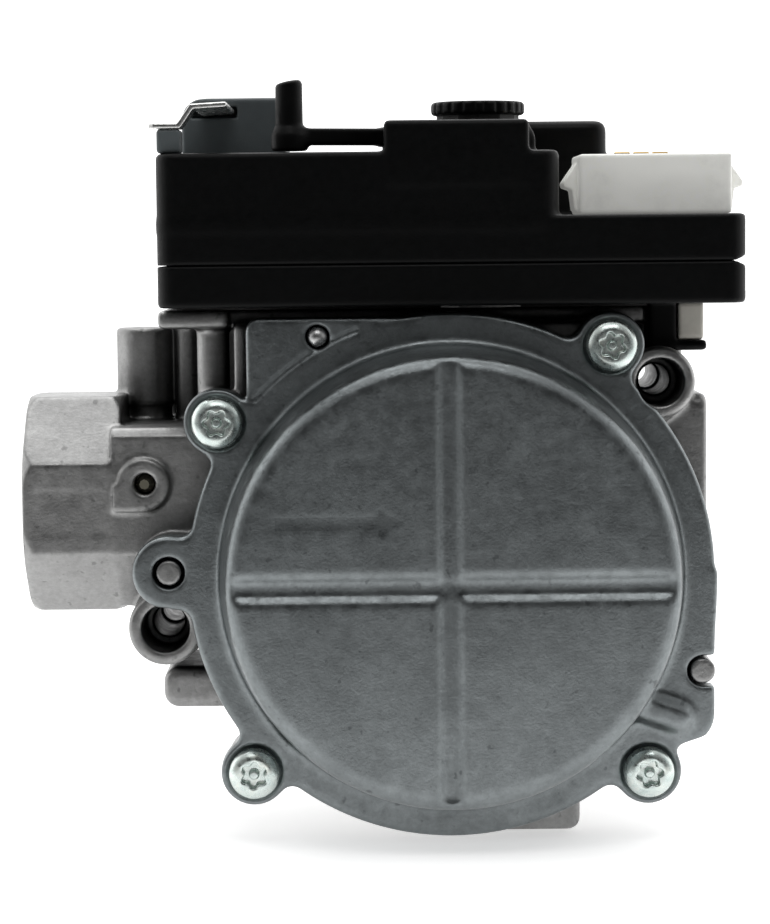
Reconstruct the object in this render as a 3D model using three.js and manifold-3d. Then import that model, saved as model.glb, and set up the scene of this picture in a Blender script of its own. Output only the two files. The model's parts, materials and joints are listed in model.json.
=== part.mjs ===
// Redundant gas control valve for a furnace or boiler, as an assembly of separate pieces.
// Millimetres. Origin: centre of the inlet face.
// +X: gas flow direction, +Z: up, -Y: towards the diaphragm cover.
import * as THREE from "three";
import { mergeVertices } from "three/addons/utils/BufferGeometryUtils.js";
import Module from "manifold-3d";

const wasm = await Module();
wasm.setup();

// ---------------------------------------------------------------- driving dimensions
const BODY_LENGTH = 108.2; // inlet face to outlet face
const ACROSS_FLATS = 34.6; // octagon of the 3/4 in. inlet boss
const PIPE_BORE = 12.1; // radius of the tapped pipe ports
const GAP = 0.3; // clearance between pieces that touch
const FIT = 0.05; // clearance between pieces that slide or screw together
const FINENESS = 0.5; // share of the sides each round shape asks for

const sides = (n) => Math.max(8, 4 * Math.round((n * FINENESS) / 4));

const COVER = { x: 67.4, z: -10, r: 40.8 }; // diaphragm cover flange
const BODY_FACE = -22; // Y of the body face under the diaphragm
const DIAPHRAGM_T = 0.8;
const FLANGE_T = 4.5;
const COVER_BACK = BODY_FACE - DIAPHRAGM_T;
const COVER_FACE = COVER_BACK - FLANGE_T;
const DOME = { height: 11.9, base: 35.9, top: 34.6, fillet: 1.9, wall: 2.4 };
const DOME_FACE = COVER_FACE - DOME.height;
const BOLT_CIRCLE = 43.3;
const BOLT_ANGLES = [146, 55, 224.5, 314.6]; // degrees from +X, the order of cover_screw_1 to 4
const BOLT_EAR = 5.2;

const GROOVE = { width: 3.2, depth: 1, x: 66.9, z: -10.4 };
const LEFT_PIN = { x: 23.7, z: -9, r: 1.95, ear: 5.7 };
const RIGHT_PIN = { x: 106.3, z: -25.2, r: 2, notch: 2.4 };
const LEFT_HOLE = { x: 22.7, z: -18.4, ear: 5.85 };
const RIGHT_HOLE = { x: 100.3, z: 19.4, ear: 5.55 };
const MOUNT_HOLE = { r: 2.45, bore: 3.7, depth: 9, front: BODY_FACE, back: 20 };

const WELL = { r: 20, back: 0 }; // chamber under the diaphragm plate
const SEAT_BORE = 8.5;
const PRIMARY = { x: 41, y: 10, bore: 7.5, seat: -3, coil: 11.4 }; // first solenoid
const SERVO = { x: 82.5, y: 13.5, bore: 5.6, seat: 17, coil: 8.9 }; // second solenoid
const REGULATOR = { x: 72.7, y: -10, r: 6.8, bore: 5.2 };

const DECK = { bottom: 28.3, top: 31.2, front: -17.5 }; // casting deck that carries the plastic housing
const GASKET_T = 0.6;
const BASE = { bottom: DECK.top + GASKET_T, top: 38.2 };
const HOUSING = { left: 22.7, step: 84.4, right: 96, front: -29, back: 30, top: 55.4, wall: 1.8 };
const SLAB = { right: 113, back: 8, top: 45.5 }; // low wing of the housing under the connector
const PART_GAP = 0.15; // parting line between housing base and top cover
const BLOCK = { left: 57.6, right: 79.7, back: 2, top: 60.1 }; // raised block over the lever pivot
const COIL_DOME = { left: 70, right: 94.4, front: 2.4, back: 24, top: 61 };
const TERMINAL_BLOCK = { left: 25.2, right: 42, front: -2, back: 22, top: 65 };
const LEVER = { x: 61.5, y: -14, arm: 19.4, peg: 2.15, top: 66.9, low: 56.7, high: 59.3 };
const CONNECTOR = { left: 88, right: 111.8, front: -20, back: -4, top: 54.9 };
const TERMINAL = { left: 21.7, front: -27.2, tab: 6.3, back: 1, t: 0.8, low: 59.2, high: 62.1 };
const CAP = { r: 7.4, bottom: 61.4, top: 63.5, plug: 58.8 };
const SCREW = { head: 3.9, height: 2.9, shank: 1.95, length: 12.5 };
const SMALL_SCREW = { head: 2.9, height: 2, shank: 1.4, tip: 21.5, recess: 2.3, boss: 2.6 };
const HOUSING_SCREWS = [[52, 24], [100.5, 2.5], [30.3, -12]];
const HOUSING_SCREW_SEATS = [HOUSING.top, SLAB.top, HOUSING.top];
const PINS = [95.4, 98.4, 101.4]; // X of the connector blades
const BLADE = { half: 1.3, tang: 0.8, t: 0.6, foot: 47.4, top: 55.4 }; // the tang passes through the housing
const PIN_Y = (CONNECTOR.front + CONNECTOR.back) / 2;
const PIN_HOLE = 1.15;
const HOOK = { left: 99.3, right: 103.8, front: -14, back: -6, foot: 24 }; // catch under the housing
const ROTOR_HUB = 3.6;
const INLET_TAP = { x: 19.5, z: 4, r: 1.65 };
const OUTLET_TAP = { x: 104.4, y: 4, r: 1.65 };
const BALL = { x: 47.1, z: 27.2, r: 1.6 }; // pressed ball that closes the bleed passage
const BLEED = { x: 55, z: 26.7, r: 1.2 };
const REAR_PADS = [48, 87];
const REAR_PAD = { z: -26, r: 6, hole: 1.7, face: 24 };
const DRUM_REAR = 20;
const NECK_END = 35;
const INLET_LENGTH = 15.4;
const TONGUE = { outer: 1.85, inner: 2.35, rise: 1.4 }; // lip of the base inside the top cover's wall

// Main valve, turned about the middle of the cover.
const PLATE_FRONT = -24.6;
const MAIN = { rollOuter: 32.6, rollInner: 26.6, plate: 26, washer: 16, stem: 2.5, disc: 11.5, lip: 0.8 };
const DISC_FACE = WELL.back - MAIN.lip - FIT;

// ---------------------------------------------------------------- solids and booleans
// A closed three.js geometry as a solid, turned right side out.
function solid(geometry) {
  const g = geometry.clone();
  g.deleteAttribute("normal");
  g.deleteAttribute("uv");
  const merged = mergeVertices(g, 1e-4);
  const make = (triVerts) =>
    new wasm.Manifold(
      new wasm.Mesh({ numProp: 3, vertProperties: merged.attributes.position.array, triVerts }),
    );
  const index = new Uint32Array(merged.index.array);
  const first = make(index);
  if (first.volume() > 0) return first;
  for (let i = 0; i < index.length; i += 3) [index[i + 1], index[i + 2]] = [index[i + 2], index[i + 1]];
  return make(index);
}

const join = (...parts) => parts.reduce((a, b) => a.add(b));
const cut = (body, ...tools) => tools.reduce((a, b) => a.subtract(b), body);

// Turns a shape drawn in the plane across `axis` into that plane.
// Across x it is drawn in (y, z), across y in (x, z), across z in (x, y).
const PLANES = {
  x: new THREE.Matrix4().makeBasis(
    new THREE.Vector3(0, 1, 0), new THREE.Vector3(0, 0, 1), new THREE.Vector3(1, 0, 0)),
  y: new THREE.Matrix4().makeBasis(
    new THREE.Vector3(1, 0, 0), new THREE.Vector3(0, 0, 1), new THREE.Vector3(0, -1, 0)),
  z: new THREE.Matrix4(),
};

// The outline of a shape as a polygon without repeated points.
function distinct(shape, curveSegments) {
  const points = shape.getPoints(Math.max(2, Math.round(curveSegments * FINENESS)));
  return new THREE.Shape(points.filter((p, i) => p.distanceTo(points[(i + 1) % points.length]) > 1e-4));
}

// A shape drawn across `axis` and extruded between two positions on it.
function prism(axis, shape, from, to, curveSegments = 12) {
  const low = Math.min(from, to);
  const high = Math.max(from, to);
  const outline = distinct(shape, curveSegments);
  const g = new THREE.ExtrudeGeometry(outline, { depth: high - low, bevelEnabled: false });
  g.applyMatrix4(PLANES[axis]);
  const at = axis === "y" ? high : low;
  g.translate(axis === "x" ? at : 0, axis === "y" ? at : 0, axis === "z" ? at : 0);
  return solid(g);
}

// A profile of [radius, position] pairs turned about a line along `axis` through (a, b) of its plane.
function turned(axis, profile, a, b, segments = 24) {
  const points = profile.map(([r, t]) => new THREE.Vector2(r, t));
  const g = new THREE.LatheGeometry(points, segments > 8 ? sides(segments) : segments);
  if (axis === "x") g.rotateZ(-Math.PI / 2).translate(0, a, b);
  if (axis === "y") g.translate(a, 0, b);
  if (axis === "z") g.rotateX(Math.PI / 2).translate(a, b, 0);
  return solid(g);
}

const rod = (axis, r, from, to, a, b, segments = 24) =>
  turned(axis, [[0, from], [r, from], [r, to], [0, to]], a, b, segments);

const tube = (axis, r, hole, from, to, a, b, segments = 24) =>
  turned(axis, [[hole, from], [r, from], [r, to], [hole, to], [hole, from]], a, b, segments);

const box = (x0, x1, y0, y1, z0, z1) =>
  solid(new THREE.BoxGeometry(x1 - x0, y1 - y0, z1 - z0)
    .translate((x0 + x1) / 2, (y0 + y1) / 2, (z0 + z1) / 2));

const polygon = (points) => new THREE.Shape(points.map(([x, y]) => new THREE.Vector2(x, y)));

// A rectangle with one corner radius for all, or a list for the corners in the order
// left-bottom, right-bottom, right-top, left-top.
function rounded(x0, x1, y0, y1, radius) {
  const [a, b, c, d] = Array.isArray(radius) ? radius : [radius, radius, radius, radius];
  const s = new THREE.Shape();
  s.moveTo(x0 + a, y0);
  s.lineTo(x1 - b, y0);
  if (b) s.absarc(x1 - b, y0 + b, b, -Math.PI / 2, 0, false);
  s.lineTo(x1, y1 - c);
  if (c) s.absarc(x1 - c, y1 - c, c, 0, Math.PI / 2, false);
  s.lineTo(x0 + d, y1);
  if (d) s.absarc(x0 + d, y1 - d, d, Math.PI / 2, Math.PI, false);
  s.lineTo(x0, y0 + a);
  if (a) s.absarc(x0 + a, y0 + a, a, Math.PI, 1.5 * Math.PI, false);
  return s;
}

// A round-ended bar between two points of a plane.
function bar(x0, y0, x1, y1, r) {
  const turn = Math.atan2(y1 - y0, x1 - x0);
  const s = new THREE.Shape();
  s.absarc(x1, y1, r, turn - Math.PI / 2, turn + Math.PI / 2, false);
  s.absarc(x0, y0, r, turn + Math.PI / 2, turn + 1.5 * Math.PI, false);
  return s;
}

// A coil spring of round wire about an upright or lying axis.
class Helix extends THREE.Curve {
  constructor(axis, radius, from, to, turns, a, b) {
    super();
    Object.assign(this, { axis, radius, from, to, turns, a, b });
  }
  getPoint(t, target = new THREE.Vector3()) {
    const angle = 2 * Math.PI * this.turns * t;
    const u = this.radius * Math.cos(angle);
    const v = this.radius * Math.sin(angle);
    const along = this.from + (this.to - this.from) * t;
    return this.axis === "y"
      ? target.set(this.a + u, along, this.b + v)
      : target.set(this.a + u, this.b + v, along);
  }
}

function spring(axis, radius, wire, from, to, turns, a, b) {
  const path = new Helix(axis, radius, from + wire, to - wire, turns, a, b);
  const section = new THREE.Shape();
  section.absarc(0, 0, wire, 0, 2 * Math.PI, false);
  return solid(new THREE.ExtrudeGeometry(section, {
    steps: Math.round(turns * 8), curveSegments: 2, extrudePath: path, bevelEnabled: false,
  }));
}

const boltAt = (degrees) => {
  const a = THREE.MathUtils.degToRad(degrees);
  return [COVER.x + BOLT_CIRCLE * Math.cos(a), COVER.z + BOLT_CIRCLE * Math.sin(a)];
};
const BOLTS = BOLT_ANGLES.map(boltAt);

// ---------------------------------------------------------------- materials
const finish = (color, roughness, metalness) =>
  new THREE.MeshStandardMaterial({ color, roughness, metalness });
const MATERIALS = {
  casting: finish(0x9a9d9e, 0.5, 0.9),
  screwSteel: finish(0xc4ccca, 0.3, 1),
  steel: finish(0xa5a9ab, 0.35, 1),
  spring: finish(0x8d9093, 0.3, 1),
  brass: finish(0xb08d4c, 0.35, 1),
  tin: finish(0xd9dcdc, 0.25, 1),
  blackPlastic: finish(0x0e0f10, 0.45, 0),
  greyPlastic: finish(0x55595b, 0.5, 0),
  whiteNylon: finish(0xe8e7e1, 0.45, 0),
  beigeNylon: finish(0xcfcbbd, 0.5, 0),
  rubber: finish(0x151515, 0.7, 0),
  winding: finish(0x7c3a1c, 0.5, 0.3),
  board: finish(0x24502f, 0.5, 0),
};

const group = new THREE.Group();

function add(name, made, material) {
  const { numProp, vertProperties, triVerts } = made.getMesh();
  const positions = new Float32Array((vertProperties.length / numProp) * 3);
  for (let i = 0; i * 3 < positions.length; i++)
    positions.set(vertProperties.subarray(i * numProp, i * numProp + 3), i * 3);
  const g = new THREE.BufferGeometry();
  g.setAttribute("position", new THREE.BufferAttribute(positions, 3));
  g.setIndex(new THREE.BufferAttribute(triVerts, 1));
  g.computeVertexNormals();
  const mesh = new THREE.Mesh(g, MATERIALS[material]);
  mesh.name = name;
  group.add(mesh);
}

// ---------------------------------------------------------------- cover outline, shared by three pieces
// The outline of the cover flange: ring, four screw ears, pin ear, straight right side, lower corner.
function coverOutline(y0, y1, inset = 0) {
  const parts = [rod("y", COVER.r - inset, y0, y1, COVER.x, COVER.z, 72)];
  BOLTS.forEach(([x, z], i) => {
    parts.push(rod("y", BOLT_EAR - inset, y0, y1, x, z, 24));
    const a = THREE.MathUtils.degToRad(BOLT_ANGLES[i]);
    const inner = COVER.r - 4;
    parts.push(prism("y", bar(COVER.x + inner * Math.cos(a), COVER.z + inner * Math.sin(a), x, z,
      BOLT_EAR - inset - 0.01), y0, y1, 6));
  });
  parts.push(prism("y", bar(LEFT_PIN.x, LEFT_PIN.z, 34, LEFT_PIN.z - 1, LEFT_PIN.ear - inset), y0, y1, 8));
  const right = COVER.x + COVER.r;
  const corner = new THREE.Shape();
  corner.moveTo(84, -14);
  corner.lineTo(right - inset, -10);
  corner.lineTo(right - inset, -32);
  corner.absarc(right - 5, -32, 5 - inset, 0, -Math.PI / 4, true);
  corner.lineTo(BOLTS[3][0] + 3.2, BOLTS[3][1] + 3.4 + inset);
  corner.lineTo(88, -36);
  parts.push(prism("y", corner, y0, y1, 6));
  return join(...parts);
}

const boltHoles = (r, y0, y1) => join(...BOLTS.map(([x, z]) => rod("y", r, y0, y1, x, z, 24)));
const mountHoleRelief = (y0, y1) =>
  join(...[LEFT_HOLE, RIGHT_HOLE].map(({ x, z }) => rod("y", MOUNT_HOLE.bore + 0.2, y0, y1, x, z, 24)));
const rightPinNotch = (y0, y1) =>
  prism("y", bar(RIGHT_PIN.x, RIGHT_PIN.z, RIGHT_PIN.x + 6, RIGHT_PIN.z, RIGHT_PIN.notch), y0, y1, 8);

// ---------------------------------------------------------------- valve body casting
const octagon = (flats) => {
  const half = flats / 2;
  const short = half * Math.tan(Math.PI / 8);
  return polygon([
    [-half, -short], [-short, -half], [short, -half], [half, -short],
    [half, short], [short, half], [-short, half], [-half, short],
  ]);
};

function inletBoss() {
  const long = ACROSS_FLATS / 2 / Math.cos(Math.PI / 8);
  const chamfer = turned("x",
    [[0, 0], [long - 1.2, 0], [long + 0.3, 2], [long + 0.3, INLET_LENGTH - 2], [long - 1.2, INLET_LENGTH],
      [0, INLET_LENGTH]], 0, 0, 72);
  return prism("x", octagon(ACROSS_FLATS), 0, INLET_LENGTH).intersect(chamfer);
}

function neck() {
  const outline = polygon([
    [-17.3, -7.3], [-17.3, 11.5], [-16, 12.8], [13, 12.8], [17.3, 8], [17.3, -7.5], [8, -16.6], [-8, -16.6],
  ]);
  return prism("x", outline, INLET_LENGTH - 1.4, NECK_END);
}

// The narrow foot and the rim step of the reference pressure boss on top of the neck.
const pressureBoss = () =>
  turned("z", [[0, 10], [4.1, 10], [4.1, 15], [4.85, 16.2], [4.85, 27], [4.5, 27.9], [0, 27.9]], 18.3, 6);

function valveBody() {
  const parts = [
    coverOutline(BODY_FACE, -13, 0.6),
    rod("y", 38, -13.5, -4, COVER.x, COVER.z, 56),
    rod("y", 34, -4.5, DRUM_REAR, COVER.x, COVER.z, 48),
    inletBoss(),
    neck(),
    pressureBoss(),
    rod("y", 4.75, -18.6, -12, 19.3, 3.8, 24),
    // outlet block
    prism("x", rounded(-17.3, 17.3, -17.3, 17.3, [4, 4, 1.6, 1.6]), 88, BODY_LENGTH, 4),
    // deck and its supports
    box(21.9, 108, DECK.front, 26, DECK.bottom, DECK.top),
    prism("y", rounded(34.5, 96, 8, 29, 1), -18.5, 3, 2),
    box(24, 42, -6, 10, -14, 12),
    box(33.9, 35.6, -19, 6, 8, 29),
    rod("z", 2.5, 8, 29, 25.6, 4, 20),
    rod("z", SMALL_SCREW.boss, 18, 29, HOUSING_SCREWS[0][0], HOUSING_SCREWS[0][1], 20),
    rod("z", SMALL_SCREW.boss, 10, 29, HOUSING_SCREWS[2][0], HOUSING_SCREWS[2][1], 20),
    box(31, 50, 2, 19, -12, 29),
    box(24, 34, 12, 19, -12, 29),
    rod("z", PRIMARY.bore + 3, -16, 29, PRIMARY.x, PRIMARY.y, 28),
    rod("z", SERVO.bore + 3, 5, 29, SERVO.x, SERVO.y, 24),
    box(94, 106, -2.5, 22, 12, 29),
    // mounting ears behind the cover
    rod("y", LEFT_HOLE.ear, MOUNT_HOLE.front, MOUNT_HOLE.back, LEFT_HOLE.x, LEFT_HOLE.z, 24),
    prism("y", bar(LEFT_HOLE.x, LEFT_HOLE.z, 36, LEFT_HOLE.z + 6, 5), -20, -7, 8),
    rod("y", RIGHT_HOLE.ear, MOUNT_HOLE.front, MOUNT_HOLE.back, RIGHT_HOLE.x, RIGHT_HOLE.z, 24),
    prism("y", bar(RIGHT_HOLE.x, RIGHT_HOLE.z, 92, 10, 5), -20, -7, 8),
    prism("y", bar(LEFT_PIN.x, LEFT_PIN.z, 36, LEFT_PIN.z, 4.9), BODY_FACE, -11, 8),
    // pins that locate the cover
    rod("y", LEFT_PIN.r, COVER_FACE + 0.1, BODY_FACE + 1, LEFT_PIN.x, LEFT_PIN.z, 20),
    rod("y", RIGHT_PIN.r, COVER_FACE + 0.1, BODY_FACE + 1, RIGHT_PIN.x, RIGHT_PIN.z, 20),
    // passage bulges low on the casting
    prism("y", rounded(21.8, 50, -32, -25.4, [4.6, 1, 1, 1.5]), -16, 4, 6),
    prism("y", rounded(72, 87.8, -51.8, -40, [2, 2.6, 1, 1]), -19, -8, 6),
    // rear pads that carry the valve on a bracket
    ...REAR_PADS.map((x) => rod("y", REAR_PAD.r, DRUM_REAR - 1, REAR_PAD.face, x, REAR_PAD.z, 20)),
    box(40, 60, DRUM_REAR - 8, REAR_PAD.face, 14, 29),
    box(36, 99, DRUM_REAR - 3, 21.5, -2, 3),
  ];
  const tools = [
    // inlet side
    turned("x", [[0, -1], [13.6, -1], [13.6, 0], [PIPE_BORE, 1.6], [PIPE_BORE, 19], [0, 19]], 0, 0, 36),
    rod("x", 6.6, 15, PRIMARY.x, 8, 0, 20),
    rod("z", PRIMARY.bore, PRIMARY.seat, 32, PRIMARY.x, PRIMARY.y, 28),
    rod("z", 4.5, -14, PRIMARY.seat + 0.2, PRIMARY.x, PRIMARY.y, 20),
    rod("y", 4.5, -18, PRIMARY.y, PRIMARY.x, -13, 20),
    // chamber under the diaphragm, main seat and outlet side
    rod("y", 33.4, BODY_FACE - 1, -13.5, COVER.x, COVER.z, 56),
    rod("y", WELL.r, -14, WELL.back, COVER.x, COVER.z, 40),
    rod("y", SEAT_BORE, -1, 4, COVER.x, COVER.z, 28),
    rod("y", 13, 3, 16, COVER.x, COVER.z, 28),
    rod("x", 6.6, COVER.x, 99, 9.2, -5, 20),
    turned("x", [[0, 91], [PIPE_BORE, 91], [PIPE_BORE, BODY_LENGTH - 1.6], [13.6, BODY_LENGTH],
      [13.6, BODY_LENGTH + 1], [0, BODY_LENGTH + 1]], 0, 0, 36),
    rod("z", SERVO.bore, SERVO.seat, 32, SERVO.x, SERVO.y, 20),
    rod("z", 1.6, 2, SERVO.seat + 1, SERVO.x, SERVO.y, 12),
    // small passages between the deck and the cover
    rod("y", BLEED.r, BODY_FACE - 1, -14, BLEED.x, BLEED.z, 10),
    rod("z", BLEED.r, BLEED.z, 32, BLEED.x, -15.2, 10),
    rod("z", 2.4, 26, 32, REGULATOR.x, REGULATOR.y, 16),
    rod("y", 1.1, -16.5, REGULATOR.y, REGULATOR.x, BLEED.z, 10),
    // pressure tap openings
    rod("y", INLET_TAP.r, -19, -8, INLET_TAP.x, INLET_TAP.z, 16),
    rod("z", OUTLET_TAP.r, -18, -8, OUTLET_TAP.x, OUTLET_TAP.y, 16),
    rod("z", 1.5, 16, 29, 18.3, 6, 16),
    // counterbored mounting holes
    ...[LEFT_HOLE, RIGHT_HOLE].flatMap(({ x, z }) => [
      rod("y", MOUNT_HOLE.bore, MOUNT_HOLE.front - 1, MOUNT_HOLE.front + MOUNT_HOLE.depth, x, z, 24),
      rod("y", MOUNT_HOLE.r, MOUNT_HOLE.front, 40, x, z, 20),
    ]),
    ...REAR_PADS.map((x) => rod("y", REAR_PAD.hole, 14, REAR_PAD.face + 1, x, REAR_PAD.z, 14)),
    boltHoles(SCREW.shank + FIT, COVER_BACK - 1, -13.5),
    ...HOUSING_SCREWS.map(([x, y]) => rod("z", SMALL_SCREW.shank + FIT, 19, 32, x, y, 18)),
    box(BODY_LENGTH, BODY_LENGTH + 6, -40, -10, -40, -10),
    hookNotch(23.5, 32),
    // recess for the rating plate on the back
    prism("y", rounded(54, 82, -32, -8, 2), DRUM_REAR - 0.6, DRUM_REAR + 1, 4),
  ];
  return cut(join(...parts), ...tools);
}

// ---------------------------------------------------------------- diaphragm cover
const HALF = GROOVE.width / 2;

// The cross groove as two tapered bars that run across the dome.
function crossGroove() {
  const y0 = DOME_FACE - 1;
  const bottom = DOME_FACE + GROOVE.depth;
  const section = (centre) => polygon([
    [centre - HALF - 0.5, y0], [centre - HALF, DOME_FACE], [centre - HALF + 0.6, bottom],
    [centre + HALF - 0.6, bottom], [centre + HALF, DOME_FACE], [centre + HALF + 0.5, y0],
  ]);
  const across = prism("x", polygon([
    [y0, GROOVE.z - HALF - 0.5], [DOME_FACE, GROOVE.z - HALF], [bottom, GROOVE.z - HALF + 0.6],
    [bottom, GROOVE.z + HALF - 0.6], [DOME_FACE, GROOVE.z + HALF], [y0, GROOVE.z + HALF + 0.5],
  ]), COVER.x - 33.6, COVER.x + 33.6);
  const upright = prism("z", section(GROOVE.x), COVER.z - 33.6, COVER.z + 36);
  return join(across, upright);
}

function flowArrow() {
  const left = 40.6;
  const neckX = 56.1;
  const mid = COVER.z + 9.6;
  return prism("y", polygon([
    [left, mid - 1], [neckX, mid - 1], [neckX, mid - 2.1], [60.1, mid],
    [neckX, mid + 2.1], [neckX, mid + 1], [left, mid + 1],
  ]), DOME_FACE - 1, DOME_FACE + 0.5);
}

function domeProfile() {
  const { base, top, fillet } = DOME;
  const foot = base + 0.6;
  const points = [[0, COVER_FACE + 1], [foot, COVER_FACE + 1], [foot, COVER_FACE], [base, COVER_FACE - 0.8]];
  points.push([top, DOME_FACE + fillet]);
  for (let i = 1; i <= 3; i++) {
    const a = (i / 3) * (Math.PI / 2);
    points.push([top - fillet + fillet * Math.cos(a), DOME_FACE + fillet - fillet * Math.sin(a)]);
  }
  points.push([0, DOME_FACE]);
  return points;
}

function diaphragmCover() {
  const plate = prism("y", rounded(36.1, 74, 0, 30.2, [0, 0, 2.2, 2.2]), COVER_FACE + 0.7, COVER_BACK, 5);
  const passage = join(
    prism("y", bar(96, -30.2, 102.4, -32.4, 1.8), COVER_FACE - 1.6, COVER_FACE + 1, 6),
    prism("y", bar(96, -30.2, 102.4, -32.4, 2.3), COVER_FACE - 0.7, COVER_FACE + 1, 6),
  );
  const shell = join(coverOutline(COVER_FACE, COVER_BACK), plate, passage,
    turned("y", domeProfile(), COVER.x, COVER.z, 72));
  const inside = turned("y", [
    [0, COVER_BACK + 1], [33.2, COVER_BACK + 1], [33.2, COVER_FACE], [31.6, DOME_FACE + DOME.wall + 1.2],
    [30.4, DOME_FACE + DOME.wall], [0, DOME_FACE + DOME.wall],
  ], COVER.x, COVER.z, 56);
  return cut(shell, inside, crossGroove(), flowArrow(),
    boltHoles(SCREW.shank + 0.35, COVER_FACE - 2, COVER_BACK + 1),
    join(...BOLTS.map(([x, z]) => rod("y", SCREW.head + 0.35, COVER_FACE - 4, COVER_FACE + 0.6, x, z, 24))),
    rod("y", LEFT_PIN.r + 0.5, COVER_FACE - 1, COVER_BACK + 1, LEFT_PIN.x, LEFT_PIN.z, 20),
    rightPinNotch(COVER_FACE - 3, COVER_BACK + 1),
    mountHoleRelief(COVER_FACE - 3, COVER_BACK + 1),
    rod("y", BALL.r + 0.15, COVER_FACE - 1, COVER_FACE + 2.9, BALL.x, BALL.z, 16),
    rod("y", BLEED.r, COVER_FACE + 1, COVER_BACK + 1, BLEED.x, BLEED.z, 10),
    prism("y", bar(BALL.x, BALL.z, BLEED.x, BLEED.z, BLEED.r - 0.1), COVER_FACE + 1.6, COVER_BACK + 1, 4),
  );
}

// ---------------------------------------------------------------- small shared pieces
// A six-lobed driver recess of the given outer radius, as an outline in its own plane.
function lobes(x, y, r, count = 6) {
  const points = [];
  const steps = count * 4;
  for (let i = 0; i < steps; i++) {
    const a = (i / steps) * 2 * Math.PI;
    const radius = r * (0.86 + 0.14 * Math.cos(count * a));
    points.push([x + radius * Math.cos(a), y + radius * Math.sin(a)]);
  }
  return polygon(points);
}

function coverScrew(x, z) {
  const seat = COVER_FACE + 0.6 - FIT;
  const top = seat - SCREW.height;
  const tip = seat + SCREW.length;
  const blank = turned("y", [
    [0, tip], [SCREW.shank - 0.6, tip], [SCREW.shank, tip - 0.8], [SCREW.shank, seat],
    [SCREW.head, seat], [SCREW.head, top + 1.1], [SCREW.head - 0.4, top + 0.4],
    [SCREW.head - 1.3, top], [0, top],
  ], x, z, 24);
  const recess = prism("y", lobes(x, z, 2.05), top - 1, top + 1.5);
  return join(cut(blank, recess), rod("y", 0.72, top + 0.35, top + 1.6, x, z, 10));
}

function smallScrew(x, y, face) {
  const { head, height, shank, tip, recess } = SMALL_SCREW;
  const seat = face - recess + FIT;
  const blank = turned("z", [
    [0, tip], [shank, tip], [shank, seat], [head, seat],
    [head, seat + height * 0.6], [head - 0.7, seat + height], [0, seat + height],
  ], x, y, 18);
  return cut(blank, prism("z", lobes(x, y, 1.4), seat + height - 1.1, seat + height + 1));
}

// ---------------------------------------------------------------- main valve
function diaphragm() {
  const middle = BODY_FACE - DIAPHRAGM_T / 2;
  const half = DIAPHRAGM_T / 2;
  const rollAt = (MAIN.rollOuter + MAIN.rollInner) / 2;
  const rollR = (MAIN.rollOuter - MAIN.rollInner) / 2;
  const arc = (r, from, to) => Array.from({ length: 5 }, (_, i) => {
    const a = from + ((to - from) * i) / 4;
    return [rollAt + r * Math.cos(a), middle - r * Math.sin(a)];
  });
  const profile = [
    [MAIN.stem + FIT, middle - half],
    ...arc(rollR + half, Math.PI, 0).map(([r, y]) => [r, Math.min(y, middle - half)]),
    [34, middle - half], [34, middle + half],
    ...arc(rollR - half, 0, Math.PI).map(([r, y]) => [r, Math.min(y, middle + half)]),
    [MAIN.stem + FIT, middle + half], [MAIN.stem + FIT, middle - half],
  ];
  const rim = cut(coverOutline(BODY_FACE, COVER_BACK, 0.9),
    rod("y", 33.9, BODY_FACE + 1, COVER_BACK - 1, COVER.x, COVER.z, 56));
  return cut(join(rim, turned("y", profile, COVER.x, COVER.z, 56)),
    boltHoles(SCREW.shank + 0.35, BODY_FACE + 1, COVER_BACK - 1),
    rod("y", LEFT_PIN.r + 0.4, BODY_FACE + 1, COVER_BACK - 1, LEFT_PIN.x, LEFT_PIN.z, 20),
    rightPinNotch(BODY_FACE + 1, COVER_BACK - 1),
    mountHoleRelief(BODY_FACE + 1, COVER_BACK - 1));
}

function diaphragmPlate() {
  const { stem, plate } = MAIN;
  const back = COVER_BACK - FIT;
  const boss = PLATE_FRONT - 1.4; // seat of the spring
  return turned("y", [
    [stem + FIT, back], [plate - 0.8, back], [plate - 0.4, PLATE_FRONT - 0.6],
    [plate - 1.4, PLATE_FRONT - 0.6],
    [plate - 2, PLATE_FRONT], [8.2, PLATE_FRONT], [7.9, boss], [5.4, boss], [5.4, PLATE_FRONT],
    [stem + FIT, PLATE_FRONT], [stem + FIT, back],
  ], COVER.x, COVER.z, 40);
}

const backingPlate = () =>
  tube("y", MAIN.washer, MAIN.stem + FIT, BODY_FACE + FIT, BODY_FACE + 1.2, COVER.x, COVER.z, 32);

function mainStem() {
  const { stem } = MAIN;
  const head = PLATE_FRONT - 2.2;
  const nut = BODY_FACE + 1.25; // nut behind the backing plate
  const shoulder = DISC_FACE - 4.5;
  return turned("y", [
    [0, head], [4.2, head], [4.2, PLATE_FRONT - FIT], [stem, PLATE_FRONT - FIT], [stem, nut], [4, nut],
    [4, nut + 1.15], [stem + 0.9, nut + 1.15], [stem + 0.9, shoulder], [stem, shoulder],
    [stem, DISC_FACE + 1.4], [0, DISC_FACE + 1.4],
  ], COVER.x, COVER.z, 20);
}

const mainDisc = () => turned("y", [
  [MAIN.stem + FIT, DISC_FACE - 4.4], [MAIN.disc - 2, DISC_FACE - 4.4], [MAIN.disc, DISC_FACE - 3.6],
  [MAIN.disc, DISC_FACE - 1.5], [MAIN.stem + FIT, DISC_FACE - 1.5], [MAIN.stem + FIT, DISC_FACE - 4.4],
], COVER.x, COVER.z, 32);

const mainSeal = () =>
  tube("y", MAIN.disc - 0.6, MAIN.stem + FIT, DISC_FACE - 1.45, DISC_FACE, COVER.x, COVER.z, 32);

const mainSpring = () =>
  spring("y", 9.3, 0.5, DOME_FACE + DOME.wall + FIT, PLATE_FRONT - FIT, 4, COVER.x, COVER.z);

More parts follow.
